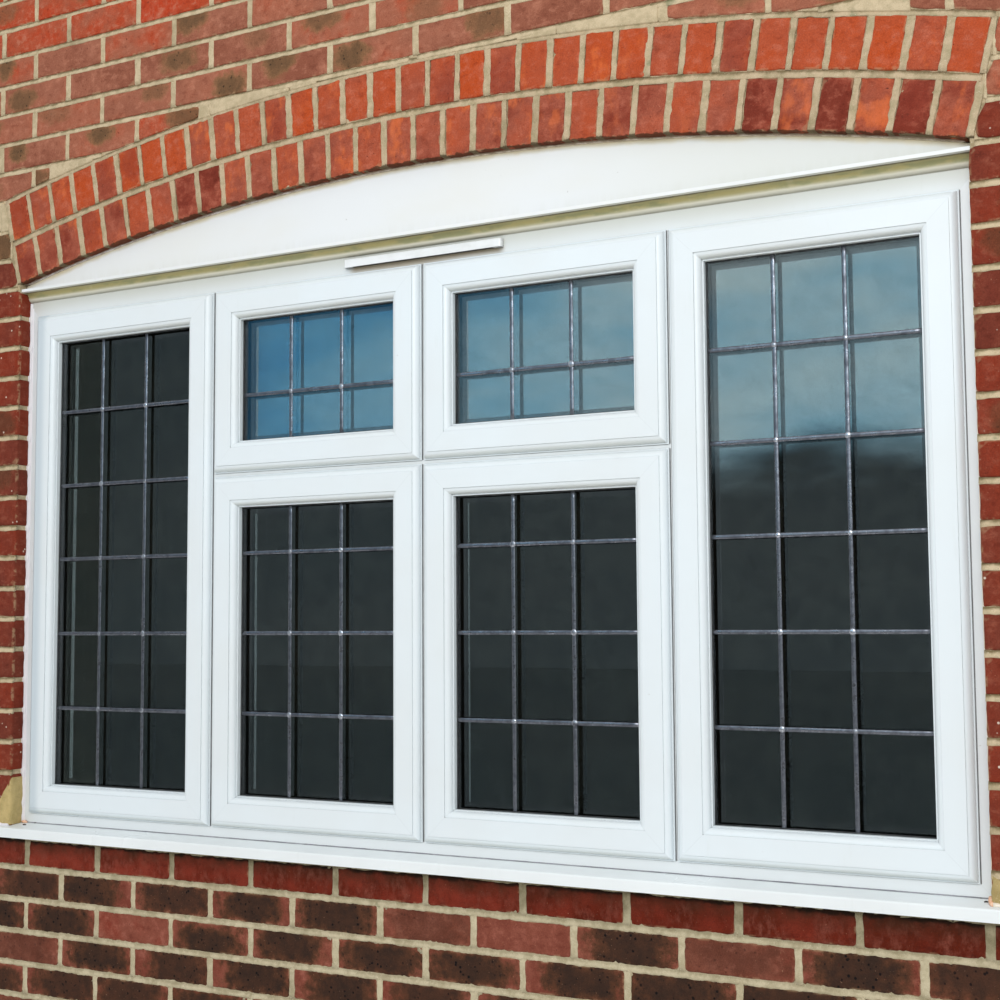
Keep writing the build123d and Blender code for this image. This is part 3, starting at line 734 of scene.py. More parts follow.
def cut_range(left, right, low, high):
    """The stretch of a brick in which the wall is thick enough to hold it, or None."""
    if right - left < SHORTEST_CUT:
        return left, right

    def thick(x):
        floor, ceiling = wall_at(x, low, high)
        return ceiling - floor >= THINNEST_CUT

    def sharpen(inside, outside):
        for _ in range(CUT_HALVINGS):
            half = (inside + outside) / 2
            inside, outside = (half, outside) if thick(half) else (inside, half)
        return inside

    samples = [left + (right - left) * i / CUT_STEPS for i in range(CUT_STEPS + 1)]
    good = [thick(x) for x in samples]
    if not any(good):
        return None
    first, last = good.index(True), CUT_STEPS - good[::-1].index(True)
    start = samples[first] if first == 0 else sharpen(samples[first], samples[first - 1])
    end = samples[last] if last == CUT_STEPS else sharpen(samples[last], samples[last + 1])
    return (start, end) if end - start > SHORTEST_CUT else None


print("a whole brick keeps", cut_range(0.0, BRICK, 0.010, 0.075))

# %% [markdown]
# ## Luck in the kiln
# Each brick draws its body tone and its burn, from other ranges in each part of the wall. A map
# of the real wall would be exact, but only for that wall. Seeded draws keep its mixture and give
# the same wall each time.

# %% Tone and burn of one brick
TOP_RED_COURSE = 39
MIXED_COURSE = 38


def kiln_luck(course, x, draw):
    """Body tone and strength of the burn of one brick, by its place in the wall."""
    # The course under the sill draws the darkest tones, more so to the right. Part of that darkness is painted shade
    # of the sill.
    if course == COURSES_UNDER_SILL - 1:
        return 0.78 + 0.09 * x + draw.uniform(0.0, 0.16), 0.0
    if course < COURSES_UNDER_SILL:
        return draw.uniform(0.0, 0.42), draw.choice((0.0, 0.35, 0.9, 1.0, 1.0, 1.0, 1.0, 1.0))
    if course >= TOP_RED_COURSE:
        return draw.uniform(0.70, 0.96), draw.choice((0.0, 0.0, 0.0, 0.4))
    if course == MIXED_COURSE:
        return draw.uniform(0.15, 0.62), draw.choice((0.0, 0.0, 0.4, 0.8))
    if course < FIRST_FULL_COURSE_OVER_ARCH:
        return draw.uniform(0.45, 0.95), draw.choice((0.0, 0.0, 0.0, 0.4))
    return draw.uniform(0.05, 0.66), draw.choice((0.0, 0.30, 0.5, 0.7, 0.85))


def burn_place(course, length, draw):
    """Middle, half size and squareness of a burn: broad under the sill, round spots above."""
    if course < COURSES_UNDER_SILL:
        wide, high = length * draw.uniform(0.44, 0.64), draw.uniform(0.036, 0.062)
        return draw.gauss(0, 0.014), draw.gauss(0, 0.006), wide, high, 3.4
    reach = max(0.0, length / 2 - 0.04)
    wide, high = draw.uniform(0.034, 0.066), draw.uniform(0.028, 0.046)
    return draw.uniform(-reach, reach), draw.uniform(-0.012, 0.022), wide, high, 2.0


print("a burn on a whole brick:", [round(v, 3) for v in burn_place(0, BRICK, random.Random(1))])

# %% [markdown]
# ## Laying the courses
# The courses are laid from the bottom up, from left to right. Where the arch leaves a thin gap, a
# wedge of nearly flush mortar is drawn in the same way as a brick. Slivers at the bay's ends draw
# from a seed of their own.

# %% Mortar where a brick would be too thin
WEDGE_PROUD = -0.0009
WEDGE_STEP = 0.004
THINNEST_WEDGE, SHORTEST_WEDGE = 0.002, 0.004


def fill_wedge(heap, start, end, low, high, draw):
    """Nearly flush mortar between the arch and a course."""
    def height_at(a):
        floor, ceiling = wall_at(first + a, low, high)
        return floor - BED * 0.5, max(ceiling, floor + THINNEST_WEDGE) + BED * 0.5

    def place(a, b, d):
        return first + a, FACE_Y + d + WEDGE_PROUD, b

    count = max(2, round((end - start) / WEDGE_STEP))
    filled = []
    for x in (start + (end - start) * i / count for i in range(count + 1)):
        floor, ceiling = wall_at(x, low, high)
        if ceiling - floor > THINNEST_WEDGE:
            filled.append(x)
    if len(filled) < 3:
        return
    first = filled[0]
    length = filled[-1] - first
    across = max(3, round(length / 0.02))
    lay_brick(heap, length, height_at, place, (-1.0, 0.0, 0.0), draw, across, 4, 0.7, rounds=(0.006, 0.006))


print("wedges stand", -WEDGE_PROUD, "m in front of the bricks' face")

# %% Lay whole courses
CUT_ROUND = 0.015
JAMB_ROUND = 0.005
POINT_STEP = 0.0155


def corner_rounds(course, slot, cut, draw):
    """Corner radius at the left and right end of a brick."""
    corner = WORN_ROUND if course < COURSES_UNDER_SILL else CORNER_ROUND
    rounds = []
    for slot_end, cut_end in zip(slot, cut):
        if abs(slot_end) > HALF_BAY:
            rounds.append(CORNER_ROUND)
        elif abs(cut_end - slot_end) > 0.002:
            rounds.append(CUT_ROUND)
        elif abs(abs(slot_end) - JAMB_X) < 0.001:
            rounds.append(JAMB_ROUND * draw.uniform(0.6, 1.2))
        else:
            rounds.append(corner)
    return rounds


def lay_courses(heap, courses, draw, wedges=None):
    """All bricks of these courses. Where a cut leaves a gap too thin for brick, wedges gets mortar."""
    for course in courses:
        low, high = course_levels(course)
        for left, right in brick_slots(course):
            cut = cut_range(left, right, low, high)
            luck = (*kiln_luck(course, (left + right) / 2, draw), draw.random())
            burn = burn_place(course, right - left, draw)
            start, end = cut or (left, left)
            for gap_start, gap_end in ((left, start), (end, right)):
                if wedges is not None and gap_end - gap_start > SHORTEST_WEDGE:
                    fill_wedge(wedges, gap_start - BED / 2, gap_end + BED / 2, low, high, draw)
            if cut is None:
                continue
            lay_brick(
                heap,
                end - start,
                lambda a: wall_at(start + a, low, high),
                lambda a, b, d: (start + a, FACE_Y + d, b),
                luck,
                rounds=corner_rounds(course, (left, right), cut, draw),
                draw=random.Random(course) if right - left < SHORTEST_CUT else draw,
                across=max(4, round((end - start) / POINT_STEP)),
                burn=burn,
                ends=WORN_ARRIS if course < COURSES_UNDER_SILL else ARRIS,
            )


wall_draw = random.Random(1907)
under_heap, over_heap, pier_heap, wedge_heap = Heap(), Heap(), Heap(), Heap()
lay_courses(under_heap, range(COURSES_UNDER_SILL), wall_draw)
lay_courses(pier_heap, range(COURSES_UNDER_SILL, FIRST_FULL_COURSE_OVER_ARCH), wall_draw)
lay_courses(over_heap, range(FIRST_FULL_COURSE_OVER_ARCH, COURSES_IN_ALL), wall_draw, wedge_heap)
wedge_heap.piece("mortar_wedges", upper_mortar, "brick")
under_heap.piece("bricks_under_sill", plinth_clay, "brick")
pier_heap.piece("bricks_of_piers", pier_clay, "brick")
over_heap.piece("bricks_over_arch", wall_clay, "brick")

# %% [markdown]
# ## The arch
# Two rings of headers on edge, each brick standing square to the curve. The rings are laid one
# over the other with a joint of their own between them, so their radial joints don't line up.
# Bending a straight row with a modifier would squeeze the bricks; turning each one doesn't.

# %% Lay the two rings
RING_JOINT = 0.013
VOUSSOIR_JOINT = 0.0095
SOFFIT_PROUD = 0.0012
INNER_COUNT, OUTER_COUNT = 32, 33
INNER_TOP = INTRADOS + RING - RING_JOINT / 2
OUTER_BOTTOM = INTRADOS + RING + RING_JOINT / 2


def lay_ring(heap, inner, outer, count, draw, tones, dark_share, right_share=1.0):
    """One ring of bricks on edge. Some are dark, and body tones fall to right_share at the right end."""
    middle = (inner + outer) / 2
    pitch = 2 * HALF_ANGLE / count
    width = pitch * middle - VOUSSOIR_JOINT
    for k in range(count):
        angle = -HALF_ANGLE + pitch * (k + 0.5) + draw.gauss(0, 0.00022)
        top, bottom = outer + draw.gauss(0, 0.0012), inner + draw.gauss(0, 0.0006)
        twist = draw.gauss(0, 0.008)
        own = width - abs(draw.gauss(0, 0.0022))

        def place(a, radius, d):
            turn = angle + (a - own / 2 + twist * (radius - middle)) / radius
            return radius * math.sin(turn), FACE_Y + d, ARCH_Z + radius * math.cos(turn)

        tone = draw.uniform(0.0, 0.15) if draw.random() < dark_share else draw.uniform(*tones)
        tone *= 1 - (1 - right_share) * max(0.0, angle / HALF_ANGLE)
        luck = (tone, draw.choice((0.0, 0.0, 0.0, 0.0, 0.3)), draw.random())
        burn = (draw.gauss(0, 0.01), draw.gauss(0, 0.02), 0.04, 0.06, 2.0)
        lay_brick(heap, own, lambda a: (bottom, top), place, luck, draw, 5, 9, 1.5, burn)


arch_draw = random.Random(33)
inner_heap, outer_heap = Heap(), Heap()
lay_ring(inner_heap, INTRADOS - SOFFIT_PROUD, INNER_TOP, INNER_COUNT, arch_draw, (0.22, 0.66), 0.12, 0.6)
lay_ring(outer_heap, OUTER_BOTTOM, EXTRADOS, OUTER_COUNT, arch_draw, (0.45, 1.0), 0.0)
inner_heap.piece("arch_bricks_inner_ring", arch_clay, "arch_brick")
outer_heap.piece("arch_bricks_outer_ring", arch_clay, "arch_brick")

# %% [markdown]
# ## Struck joints
# Mortar squeezes up against the bricks and is pressed hollow with an iron. A flat bed would look
# like printed lines. Each joint is therefore a thin bar of mortar with a hollow front, whose lips
# lap a little over the arrises and wander. Under the sill the joints were left nearly flush.

# %% Sections of the joints
# Each point is a share of the joint's half width, from its lower lip to its upper one, which gets
# dirt and painted shade, and how far it lies behind the face. A negative depth stands in front.
STRUCK = ((-1.32, -0.0024), (-1.15, -0.0037), (-0.75, -0.0036), (-0.15, -0.0026),
          (0.45, -0.0012), (0.85, -0.0002), (1.0, 0.0008))
UPRIGHT = ((-1.12, -0.0020), (-1.0, -0.0035), (-0.5, -0.0034), (0.0, -0.0028),
           (0.5, -0.0032), (1.0, -0.0034), (1.12, -0.0020))
FLUSH = ((-1.25, -0.0020), (-1.1, -0.0037), (-0.5, -0.0039), (0.0, -0.0035),
         (0.5, -0.0033), (0.85, -0.0030), (1.0, -0.0014))
BED_HALF, UPRIGHT_HALF = 0.0062, 0.0068
LOW_BED_HALF, LOW_UPRIGHT_HALF = 0.0064, 0.0072
SILL_BED_HALF = 0.0055
BAR_BACK = 0.003
STEP, FINE_STEP = 0.011, 0.0055
SHORTEST_UPRIGHT = 0.012
LIP_WANDER, FACE_WANDER = 0.0010, 0.0006
print("sections of", len(STRUCK), len(UPRIGHT), "and", len(FLUSH), "points")


# %% Draw a bar into the heap
def strike(heap, line, half_width, profile, rough=1.0, face=FACE_Y, inward=1, back=BAR_BACK, even=False, teeth=0.0):
    """A bar along line, a list of (x, z), on a face whose inward side is +Y or -Y.

    Where even, no side of it gets the dirt and painted shade of an upper lip. teeth is how far
    crumbs of mortar stand up from its upper edge.
    """
    rings = []
    for k, (x, z) in enumerate(line):
        before, after = line[max(k - 1, 0)], line[min(k + 1, len(line) - 1)]
        along = Vector((after[0] - before[0], after[1] - before[1])).normalized()
        side = Vector((-along.y, along.x))
        ring = []
        for across, d in profile + ((1.0, back), (-1.0, back)):
            here = Vector((x * 90, across * 3, z * 90))
            wander = 0.0
            if abs(across) > 0.6:
                wander = LIP_WANDER * rough * (noise.noise(here * 0.62) + 0.7 * noise.noise(here * 1.9))
            if across > 0.8 and teeth:
                wander += teeth * max(0.0, noise.noise(here * 2.7) - 0.05)
            lift = FACE_WANDER * rough * noise.noise(here + Vector((5, 5, 5))) if d < 0 else 0.0
            offset = across * half_width + wander
            point = (x + side.x * offset, face + inward * (d + lift), z + side.y * offset)
            ring.append(heap.add(point, luck=(-0.7 if even else across, 0.0, 0.0)))
        rings.append(ring)
    heap.skin(rings, turned=True)


def points_along(start, end, step=STEP):
    """Points of a straight line, about this far apart."""
    (x0, z0), (x1, z1) = start, end
    count = max(2, round(math.hypot(x1 - x0, z1 - z0) / step))
    return [(x0 + (x1 - x0) * i / count, z0 + (z1 - z0) * i / count) for i in range(count + 1)]


print("a bed of one brick has", len(points_along((0, 0), (PITCH, 0))), "rings of points")


# %% Joints of the courses
def bed_runs(z, step):
    """Stretches of one bed joint that lie in the wall."""
    def is_wall(point):
        low, high = wall_at(point[0], z - BED / 2, z + BED / 2)
        return high - low > BED * 0.6

    line = points_along((-HALF_BAY, z), (HALF_BAY, z), step)
    runs = [list(run) for wall, run in itertools.groupby(line, is_wall) if wall]
    return [run for run in runs if len(run) > 2]


def corner_pad(heap, x, z, half_x=0.0200, half_z=0.0145, proud=0.0020):
    """A low plate of mortar under the place where joints meet, which fills the worn brick corners."""
    outline = ((-1, -0.6), (-0.6, -1), (0.6, -1), (1, -0.6), (1, 0.6), (0.6, 1), (-0.6, 1), (-1, 0.6))
    heap.skin([
        [heap.add((x + u * half_x, y, z + v * half_z)) for u, v in outline]
        for y in (FACE_Y - proud, FACE_Y + BAR_BACK)
    ])


def joint_courses(heap, courses, bed, upright, rough, draw, low_wall=False):
    """All joints of these courses. bed and upright are a section and its half width."""
    for course in courses:
        low, high = course_levels(course)
        if course and course != COURSES_UNDER_SILL:
            for run in bed_runs(low - BED / 2, FINE_STEP if low_wall else STEP):
                strike(heap, run, bed[1], bed[0], rough, teeth=0.006 if low_wall else 0.0)
        for x in perpends(course):
            floor, ceiling = wall_at(x, low, high)
            if ceiling - floor > SHORTEST_UPRIGHT:
                line = points_along((x, floor - 0.001), (x, ceiling + 0.001))
                strike(heap, line, upright[1] * draw.uniform(0.85, 1.2), upright[0], rough, even=True)
                if low_wall:
                    corner_pad(heap, x, floor)
                    corner_pad(heap, x, ceiling)


width_draw = random.Random(5)
lower_joints, upper_joints = Heap(), Heap()
lower, upper = range(COURSES_UNDER_SILL), range(COURSES_UNDER_SILL, COURSES_IN_ALL)
joint_courses(lower_joints, lower, (FLUSH, LOW_BED_HALF), (FLUSH, LOW_UPRIGHT_HALF), 2.2, width_draw, low_wall=True)
joint_courses(upper_joints, upper, (STRUCK, BED_HALF), (UPRIGHT, UPRIGHT_HALF), 1.6, width_draw)
sill_bed = SILL_BED_Z + BED / 2 - 0.003
strike(lower_joints, points_along((-HALF_BAY, sill_bed), (HALF_BAY, sill_bed)), SILL_BED_HALF, FLUSH, 3.0)
lower_joints.piece("joints_under_sill", lower_mortar, "brick")
upper_joints.piece("joints_of_wall", upper_mortar, "brick")


# %% Joints of the arch
def on_arch(angle, radius):
    return radius * math.sin(angle), ARCH_Z + radius * math.cos(angle)


def arc_points(radius):
    count = round(2 * HALF_ANGLE * radius / STEP)
    return [on_arch(-HALF_ANGLE + 2 * HALF_ANGLE * i / count, radius) for i in range(count + 1)]


arch_joints = Heap()
strike(arch_joints, arc_points(INTRADOS + RING), RING_JOINT / 2 + 0.0008, STRUCK, 1.4)
strike(arch_joints, arc_points(EXTRADOS + BED * 0.45), BED_HALF, STRUCK, 1.8)
for inner, outer, count in ((INTRADOS, INNER_TOP, INNER_COUNT), (OUTER_BOTTOM, EXTRADOS, OUTER_COUNT)):
    for k in range(count + 1):
        angle = -HALF_ANGLE + 2 * HALF_ANGLE * k / count
        line = points_along(on_arch(angle, inner), on_arch(angle, outer))
        half = VOUSSOIR_JOINT / 2 * width_draw.uniform(1.05, 1.6)
        strike(arch_joints, line, half, UPRIGHT, 2.6, even=True)
arch_joints.piece("joints_of_arch", arch_mortar, "arch_brick")

# %% [markdown]
# ## White plastic, welded and weathered
# The frame and sashes are extruded white profiles. They are cut at 45 degrees and welded with a
# hot plate, which leaves a thin grey seam across each corner. The plastic is cool white with a
# soft sheen. Green-grey dirt settles in the grooves, where the rain doesn't rinse it, and shade
# falls there: an ambient occlusion node finds those grooves and paints both dirt and shade into
# them, and noise breaks it up. The narrowest steps get a painted dark line of shade, and faces
# turned down a painted cream-grey shade.

# %% A recipe for white plastic
TINT_SOFT = 0.012


def stain_and_shade_layer(bench, cloud, x, z, top, amount, colour):
    """A tint over a span in X, such as a painted shade. It grows from the first level of z to the second, and ends
    at top.
    """
    at_x, _, at_z = bench.split(bench.place)
    left = bench.span(at_x, x[0] - TINT_SOFT, x[0] + TINT_SOFT)
    right = bench.span(at_x, x[1] + TINT_SOFT, x[1] - TINT_SOFT)
    tall = bench.span(bench.ragged(at_z, cloud, 0.2, 0.8, 0.003), *z)
    tall = bench.times(tall, bench.span(at_z, top + 0.002, top))
    bench.over(bench.times(bench.times(bench.times(left, right), tall), amount), colour)


def weld_seams(bench, middle_x, middle_z, half_x, half_z):
    """A grey line across the four corners of a ring with this middle and half size."""
    x, _, z = bench.split(bench.place)
    from_side = bench.sum(half_x, bench.apart(x, middle_x), "SUBTRACT")
    from_end = bench.sum(half_z, bench.apart(z, middle_z), "SUBTRACT")
    seam = bench.span(bench.apart(from_side, from_end), 0.0010, 0.0003)
    bench.over(bench.times(seam, 0.09), (120, 124, 128))


def white_plastic(name, colour, corners=None, grime_and_shade=0.3, groove=0.008, roughness=0.34, stains_and_shades=()):
    """corners is the ring whose corners are welded, groove how near walls must be to hold dirt and painted shade."""
    bench = Bench(name, Roughness=roughness, Specular_IOR_Level=0.45)
    cloud = bench.noise(3.0, 3.0)
    film = bench.noise(1.0, 5.0, 0.6, (60.0, 60.0, 9.0))
    bench.colour = bench.blend(bench.span(cloud, 0.35, 0.7, 0.0, 0.5), colour, (224, 229, 230))
    # Dirt and painted shade in the grooves, found by ambient occlusion.
    dirt = bench.times(bench.span(bench.hollow(groove), 0.72, 0.30), bench.span(film, 0.25, 0.6, 0.35, 1.0))
    bench.over(bench.times(dirt, grime_and_shade), (128, 128, 104))
    bench.over(bench.span(film, 0.60, 0.80, 0.0, 0.10), (196, 200, 190))
    bench.over(bench.span(bench.noise(120.0, 1.0), 0.82, 0.83, 0.0, 0.3), (150, 142, 126))
    # Painted shade: a dark grey line in the narrowest steps and quirks.
    bench.over(bench.span(bench.hollow(0.0028), 0.62, 0.34, 0.0, 0.75), (92, 98, 104))
    # Painted shade: faces turned down get a cream-grey shade.
    facing_up = bench.split(bench.node("NewGeometry", out="Normal"))[2]
    bench.over(bench.span(facing_up, -0.25, -0.85, 0.0, 0.30), (186, 182, 156))
    for tinted_area in stains_and_shades:
        stain_and_shade_layer(bench, cloud, **tinted_area)
    if corners:
        weld_seams(bench, *corners)
    shine = bench.span(cloud, 0.3, 0.7, roughness - 0.05, roughness + 0.07)
    return bench.finish(bench.noise(26.0, 2.0), 0.12, 0.0012, shine)


print("one recipe for white plastic")

# %% Sashes
SASH_WHITE = (229, 238, 243)
GLASS_OF_SASH = {
    "sash_left": "glass_left",
    "sash_lower_left": "glass_lower_left",
    "sash_lower_right": "glass_lower_right",
    "sash_right": "glass_right",
    "vent_sash_left": "vent_glass_left",
    "vent_sash_right": "vent_glass_right",
}


def middle_and_half(low, high):
    """Middle and half size, seen from the front, of a box between two corners."""
    return (low[0] + high[0]) / 2, (low[2] + high[2]) / 2, (high[0] - low[0]) / 2, (high[2] - low[2]) / 2


def sash_edges(sash, inset):
    """Left, right, bottom and top of a sash seen from the front, this far inside its edges."""
    middle_x, middle_z, half_x, half_z = middle_and_half(*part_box(sash))
    half_x, half_z = half_x - inset, half_z - inset
    return middle_x - half_x, middle_x + half_x, middle_z - half_z, middle_z + half_z


# Painted shade of the brick reveal: a bluish grey down the outer left stile of the left sash.
left_painted_shade = {
    "x": (-HALF_OPENING, -1.094),
    "z": (1.02, 1.04),
    "top": SPRINGING_Z,
    "amount": 0.6,
    "colour": (184, 200, 210),
}
for sash in GLASS_OF_SASH:
    stains_and_shades = [left_painted_shade] if sash == "sash_left" else []
    corners = middle_and_half(*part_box(sash))
    coat([sash], white_plastic(sash + "_white", SASH_WHITE, corners, stains_and_shades=stains_and_shades))
print(len(GLASS_OF_SASH), "sashes are white")

# %% Frame, bars and sill
FRAME_WHITE = (228, 234, 237)
FRAME_GRIME_AND_SHADE = 0.45
trim_low, trim_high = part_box("head_trim")
hood_low, hood_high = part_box("vent_hood")
frame_corners = middle_and_half(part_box("frame_foot")[0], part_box("frame_head")[1])
# A grey-cream tint on the head face, stronger towards the trim above it.
under_trim = {
    "x": (-HALF_OPENING, HALF_OPENING),
    "z": (trim_low[2] - 0.045, trim_low[2]),
    "top": trim_low[2],
    "amount": 0.52,
    "colour": (186, 185, 166),
}
# Painted shade of the hood with dirt in it: a tan tint on the head face just under the hood.
shade_and_dirt_under_hood = {
    "x": (hood_low[0] + 0.012, hood_high[0] - 0.004),
    "z": (hood_low[2] - 0.020, hood_low[2] - 0.004),
    "top": hood_low[2] + 0.002,
    "amount": 0.80,
    "colour": (158, 138, 102),
}
frame_white = white_plastic("frame_white", FRAME_WHITE, frame_corners, FRAME_GRIME_AND_SHADE)
tints_under_trim_and_hood = [under_trim, shade_and_dirt_under_hood]
head_white = white_plastic("head_white", FRAME_WHITE, frame_corners, FRAME_GRIME_AND_SHADE, stains_and_shades=tints_under_trim_and_hood)
bar_white = white_plastic("bar_white", FRAME_WHITE, grime_and_shade=FRAME_GRIME_AND_SHADE)
coat(["frame_foot", "frame_jamb_left", "frame_jamb_right"], frame_white)
coat(["frame_head", "head_extension"], head_white)
coat(["mullion_left", "mullion_centre", "mullion_right", "transom_left", "transom_right"], bar_white)
coat(["glazing_beads", "vent_cover_inside"], bar_white)
coat(["outer_sill"], white_plastic("sill_white", (240, 246, 248), groove=0.010, roughness=0.30))
print("frame, bars and sill are white")


# %% Hood of the ventilator
def white_hood(name):
    """White plastic outside, with a painted dark brown shade in the slot of the vent inside it."""
    bench = Bench(name, Roughness=0.3)
    film = bench.noise(1.0, stretch=(30.0, 60.0, 60.0))
    bench.colour = bench.blend(bench.span(film, 0.35, 0.75), (238, 241, 243), (228, 231, 231))
    # Painted shade: dark brown in the hollow under the hood.
    bench.over(bench.span(bench.hollow(0.020), 0.62, 0.30), (44, 38, 28))
    return bench.finish(film, 0.2, 0.0006)


coat(["vent_hood"], white_hood("hood_white"))
print("hood is", round(hood_high[0] - hood_low[0], 3), "m long")

# %% [markdown]
# ## The arched panel and its trims
# The panel is white plastic too, greyer towards its right end as painted shade, with a few specks.
# Below it, a lip, a hollow moulding and a bead carry years of run-off: olive in the hollow, cream on
# the bead, with a painted shadow under the lip and another under the bead. The colour follows the
# height, so a ramp along Z is the simplest true description.

# %% Stained head trim
# From the foot up: a greyer foot that is a painted shadow under the bead, the pale bead, the olive hollow, and at
# the top a near-black painted shadow under the drip lip.
TRIM_STAINS_AND_SHADOWS = (
    (0.0, (172, 168, 152)),
    (0.09, (194, 192, 176)),
    (0.16, (204, 202, 186)),
    (0.28, (214, 212, 194)),
    (0.42, (190, 184, 150)),
    (0.58, (178, 168, 116)),
    (0.78, (182, 170, 112)),
    (0.92, (178, 168, 120)),
    (1.0, (84, 78, 56)),
)


def stained_and_shaded_trim(name, low, high):
    """Colours and painted shadows by height from low to high, with pale streaks, and green in the hollow."""
    bench = Bench(name, Roughness=0.5)
    z = bench.split(bench.place)[2]
    streak = bench.noise(1.0, 5.0, 0.7, (26.0, 4.0, 4.0))
    level = bench.node("MapRange", {"Value": z, "From Min": low, "From Max": high})
    level = bench.ragged(level, streak, 0.2, 0.8, 0.025)
    bench.colour = bench.ramp(level, TRIM_STAINS_AND_SHADOWS)
    bench.over(bench.span(streak, 0.52, 0.75, 0.0, 0.25), (212, 208, 180))
    in_hollow = bench.times(bench.span(level, 0.34, 0.5), bench.span(level, 0.96, 0.8))
    mottle = bench.noise(1.0, 4.0, 0.6, (16.0, 60.0, 60.0))
    bench.over(bench.times(bench.span(mottle, 0.42, 0.62, 0.0, 0.7), in_hollow), (142, 146, 104))
    return bench.finish(streak, 0.3, 0.0008)


coat(["head_trim"], stained_and_shaded_trim("stained_and_shaded_trim", trim_low[2], trim_high[2]))
print("trim is", round(trim_high[2] - trim_low[2], 4), "m high")


# %% The panel and its drip lip
def panel_white(name, colour, foot):
    """White panel, greyer towards its right end as painted shade, with faint streaks at its foot and cream dirt
    along the arch.
    """
    bench = Bench(name, Roughness=0.36)
    x, _, z = bench.split(bench.place)
    cloud = bench.noise(1.0, stretch=(2.2, 2.0, 5.0))
    bench.colour = bench.blend(bench.span(cloud, 0.35, 0.7, 0.0, 0.7), colour, (231, 232, 228))
    # Painted shade: the panel greys towards its right end.
    bench.over(bench.span(x, 0.1, 1.1, 0.0, 0.65), (210, 213, 206))
    streak = bench.noise(1.0, 4.0, 0.6, (85.0, 20.0, 5.0))
    near_foot = bench.span(z, foot + 0.030, foot)
    bench.over(bench.times(near_foot, bench.span(streak, 0.35, 0.7, 0.02, 0.10)), (178, 174, 142))
    radius = bench.ragged(bench.arch_radius(), bench.noise(14.0), 0.25, 0.75, 0.003)
    cream = bench.span(radius, INTRADOS - 0.017, INTRADOS - 0.004)
    bench.over(bench.times(cream, 0.7), (212, 194, 146))
    bench.over(bench.span(bench.noise(125.0, 1.0), 0.80, 0.81, 0.0, 0.5), (130, 122, 110))
    return bench.finish(bench.noise(7.0, 2.0), 0.12, 0.003)


panel_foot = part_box("arch_panel")[0][2]
coat(["arch_panel"], panel_white("panel_white", (233, 236, 238), panel_foot))
coat(["panel_drip_lip"], white_plastic("lip_white", (238, 240, 240), grime_and_shade=0.4))
print("panel foot at", round(panel_foot, 4))

# %% [markdown]
# ## Glass
# Each light is a sealed unit: two panes with a spacer between. Seen from outside by day, a window
# is dark below and bright above, because the room behind it is dark and the sky is not. The room
# isn't part of this object, so its darkness is put into the inner pane as a deep tint, and the
# outer pane stays clear. That shows the spacer, the lead on both faces and their reflections.

# %% Two panes, one tinted
FLOAT_WAVE = (1.0, 0.2, 1.0)


def sealed_unit(name, split_y):
    """One glass for both panes: clear before split_y, tinted behind it."""
    bench = Bench(name, Roughness=0.0, Transmission_Weight=1.0, IOR=1.52)
    inner = bench.sum(bench.split(bench.place)[1], split_y, "GREATER_THAN")
    dust = bench.span(bench.noise(30.0, 5.0, 0.6), 0.3, 0.7)
    clear = bench.blend(dust, (242, 248, 247), (232, 240, 240))
    deep = bench.blend(dust, (74, 80, 82), (64, 70, 74))
    bench.colour = bench.blend(inner, clear, deep)
    return bench.finish(bench.noise(2.6, 1.0, stretch=FLOAT_WAVE), 0.06, 0.02)


unit_low, unit_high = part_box("glass_left")
GLASS_FRONT, GLASS_BACK = unit_low[1], unit_high[1]
coat(GLASS_OF_SASH.values(), sealed_unit("sealed_unit_glass", (GLASS_FRONT + GLASS_BACK) / 2))
print("glass from y", round(GLASS_FRONT, 4), "to", round(GLASS_BACK, 4))

# %% [markdown]
# ## The heat-saving coat and the spacer
# The inner pane carries a metal coat on its cavity side. It mirrors the sky more than plain glass
# does, but not in front of the spacer, so the rim of each light stays dark. A glossy layer on the
# glass would cover the rim too. The coat is a very thin clear sheet of a high refractive index.

# %% The coat
SPACER_WIDTH = 0.0125
SPACER_INSET = 0.073
COAT_DEPTH = 0.0004


def low_coat(name):
    bench = Bench(name, Roughness=0.0, Transmission_Weight=1.0, IOR=2.0)
    bench.colour = bench.blend(bench.span(bench.noise(3.0, 2.0), 0.3, 0.7), (244, 250, 250), (238, 246, 248))
    return bench.finish(bench.noise(2.2, 1.0, stretch=FLOAT_WAVE), 0.06, 0.02)


def thin_box(heap, low, high):
    """A closed box between two corners."""
    corners = [heap.add(corner) for corner in itertools.product(*zip(low, high))]
    for face in ((0, 1, 3, 2), (4, 6, 7, 5), (0, 4, 5, 1), (2, 3, 7, 6), (0, 2, 6, 4), (1, 5, 7, 3)):
        heap.faces.append(tuple(corners[k] for k in face))


cavity_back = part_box("glass_spacers")[1][1]
coat_heap = Heap()
for sash in GLASS_OF_SASH:
    left, right, bottom, top = sash_edges(sash, SPACER_INSET + SPACER_WIDTH)
    near, far = cavity_back - 2 * COAT_DEPTH, cavity_back - COAT_DEPTH
    thin_box(coat_heap, (left, near, bottom), (right, far, top))
coat_heap.piece("heat_saving_coats", low_coat("low_coat"), "spacer_metal", smooth=False)


# %% The spacer
def spacer_and_rim_shade(name):
    """Dark bar with small breathing holes for its drying grains, darker than its metal as painted shade at the rim
    of the cavity.
    """
    bench = Bench(name, Roughness=0.5)
    grain = bench.noise(240.0, 2.0)
    bench.colour = bench.blend(bench.span(grain, 0.3, 0.7), (26, 29, 38), (38, 42, 52))
    bench.over(bench.span(bench.cells(170.0, 0.15), 0.22, 0.12), (10, 10, 12))
    return bench.finish(grain, 0.3, 0.0004)


coat(["glass_spacers"], spacer_and_rim_shade("spacer_and_rim_shade"))
print("spacer ends at y", round(cavity_back, 4))

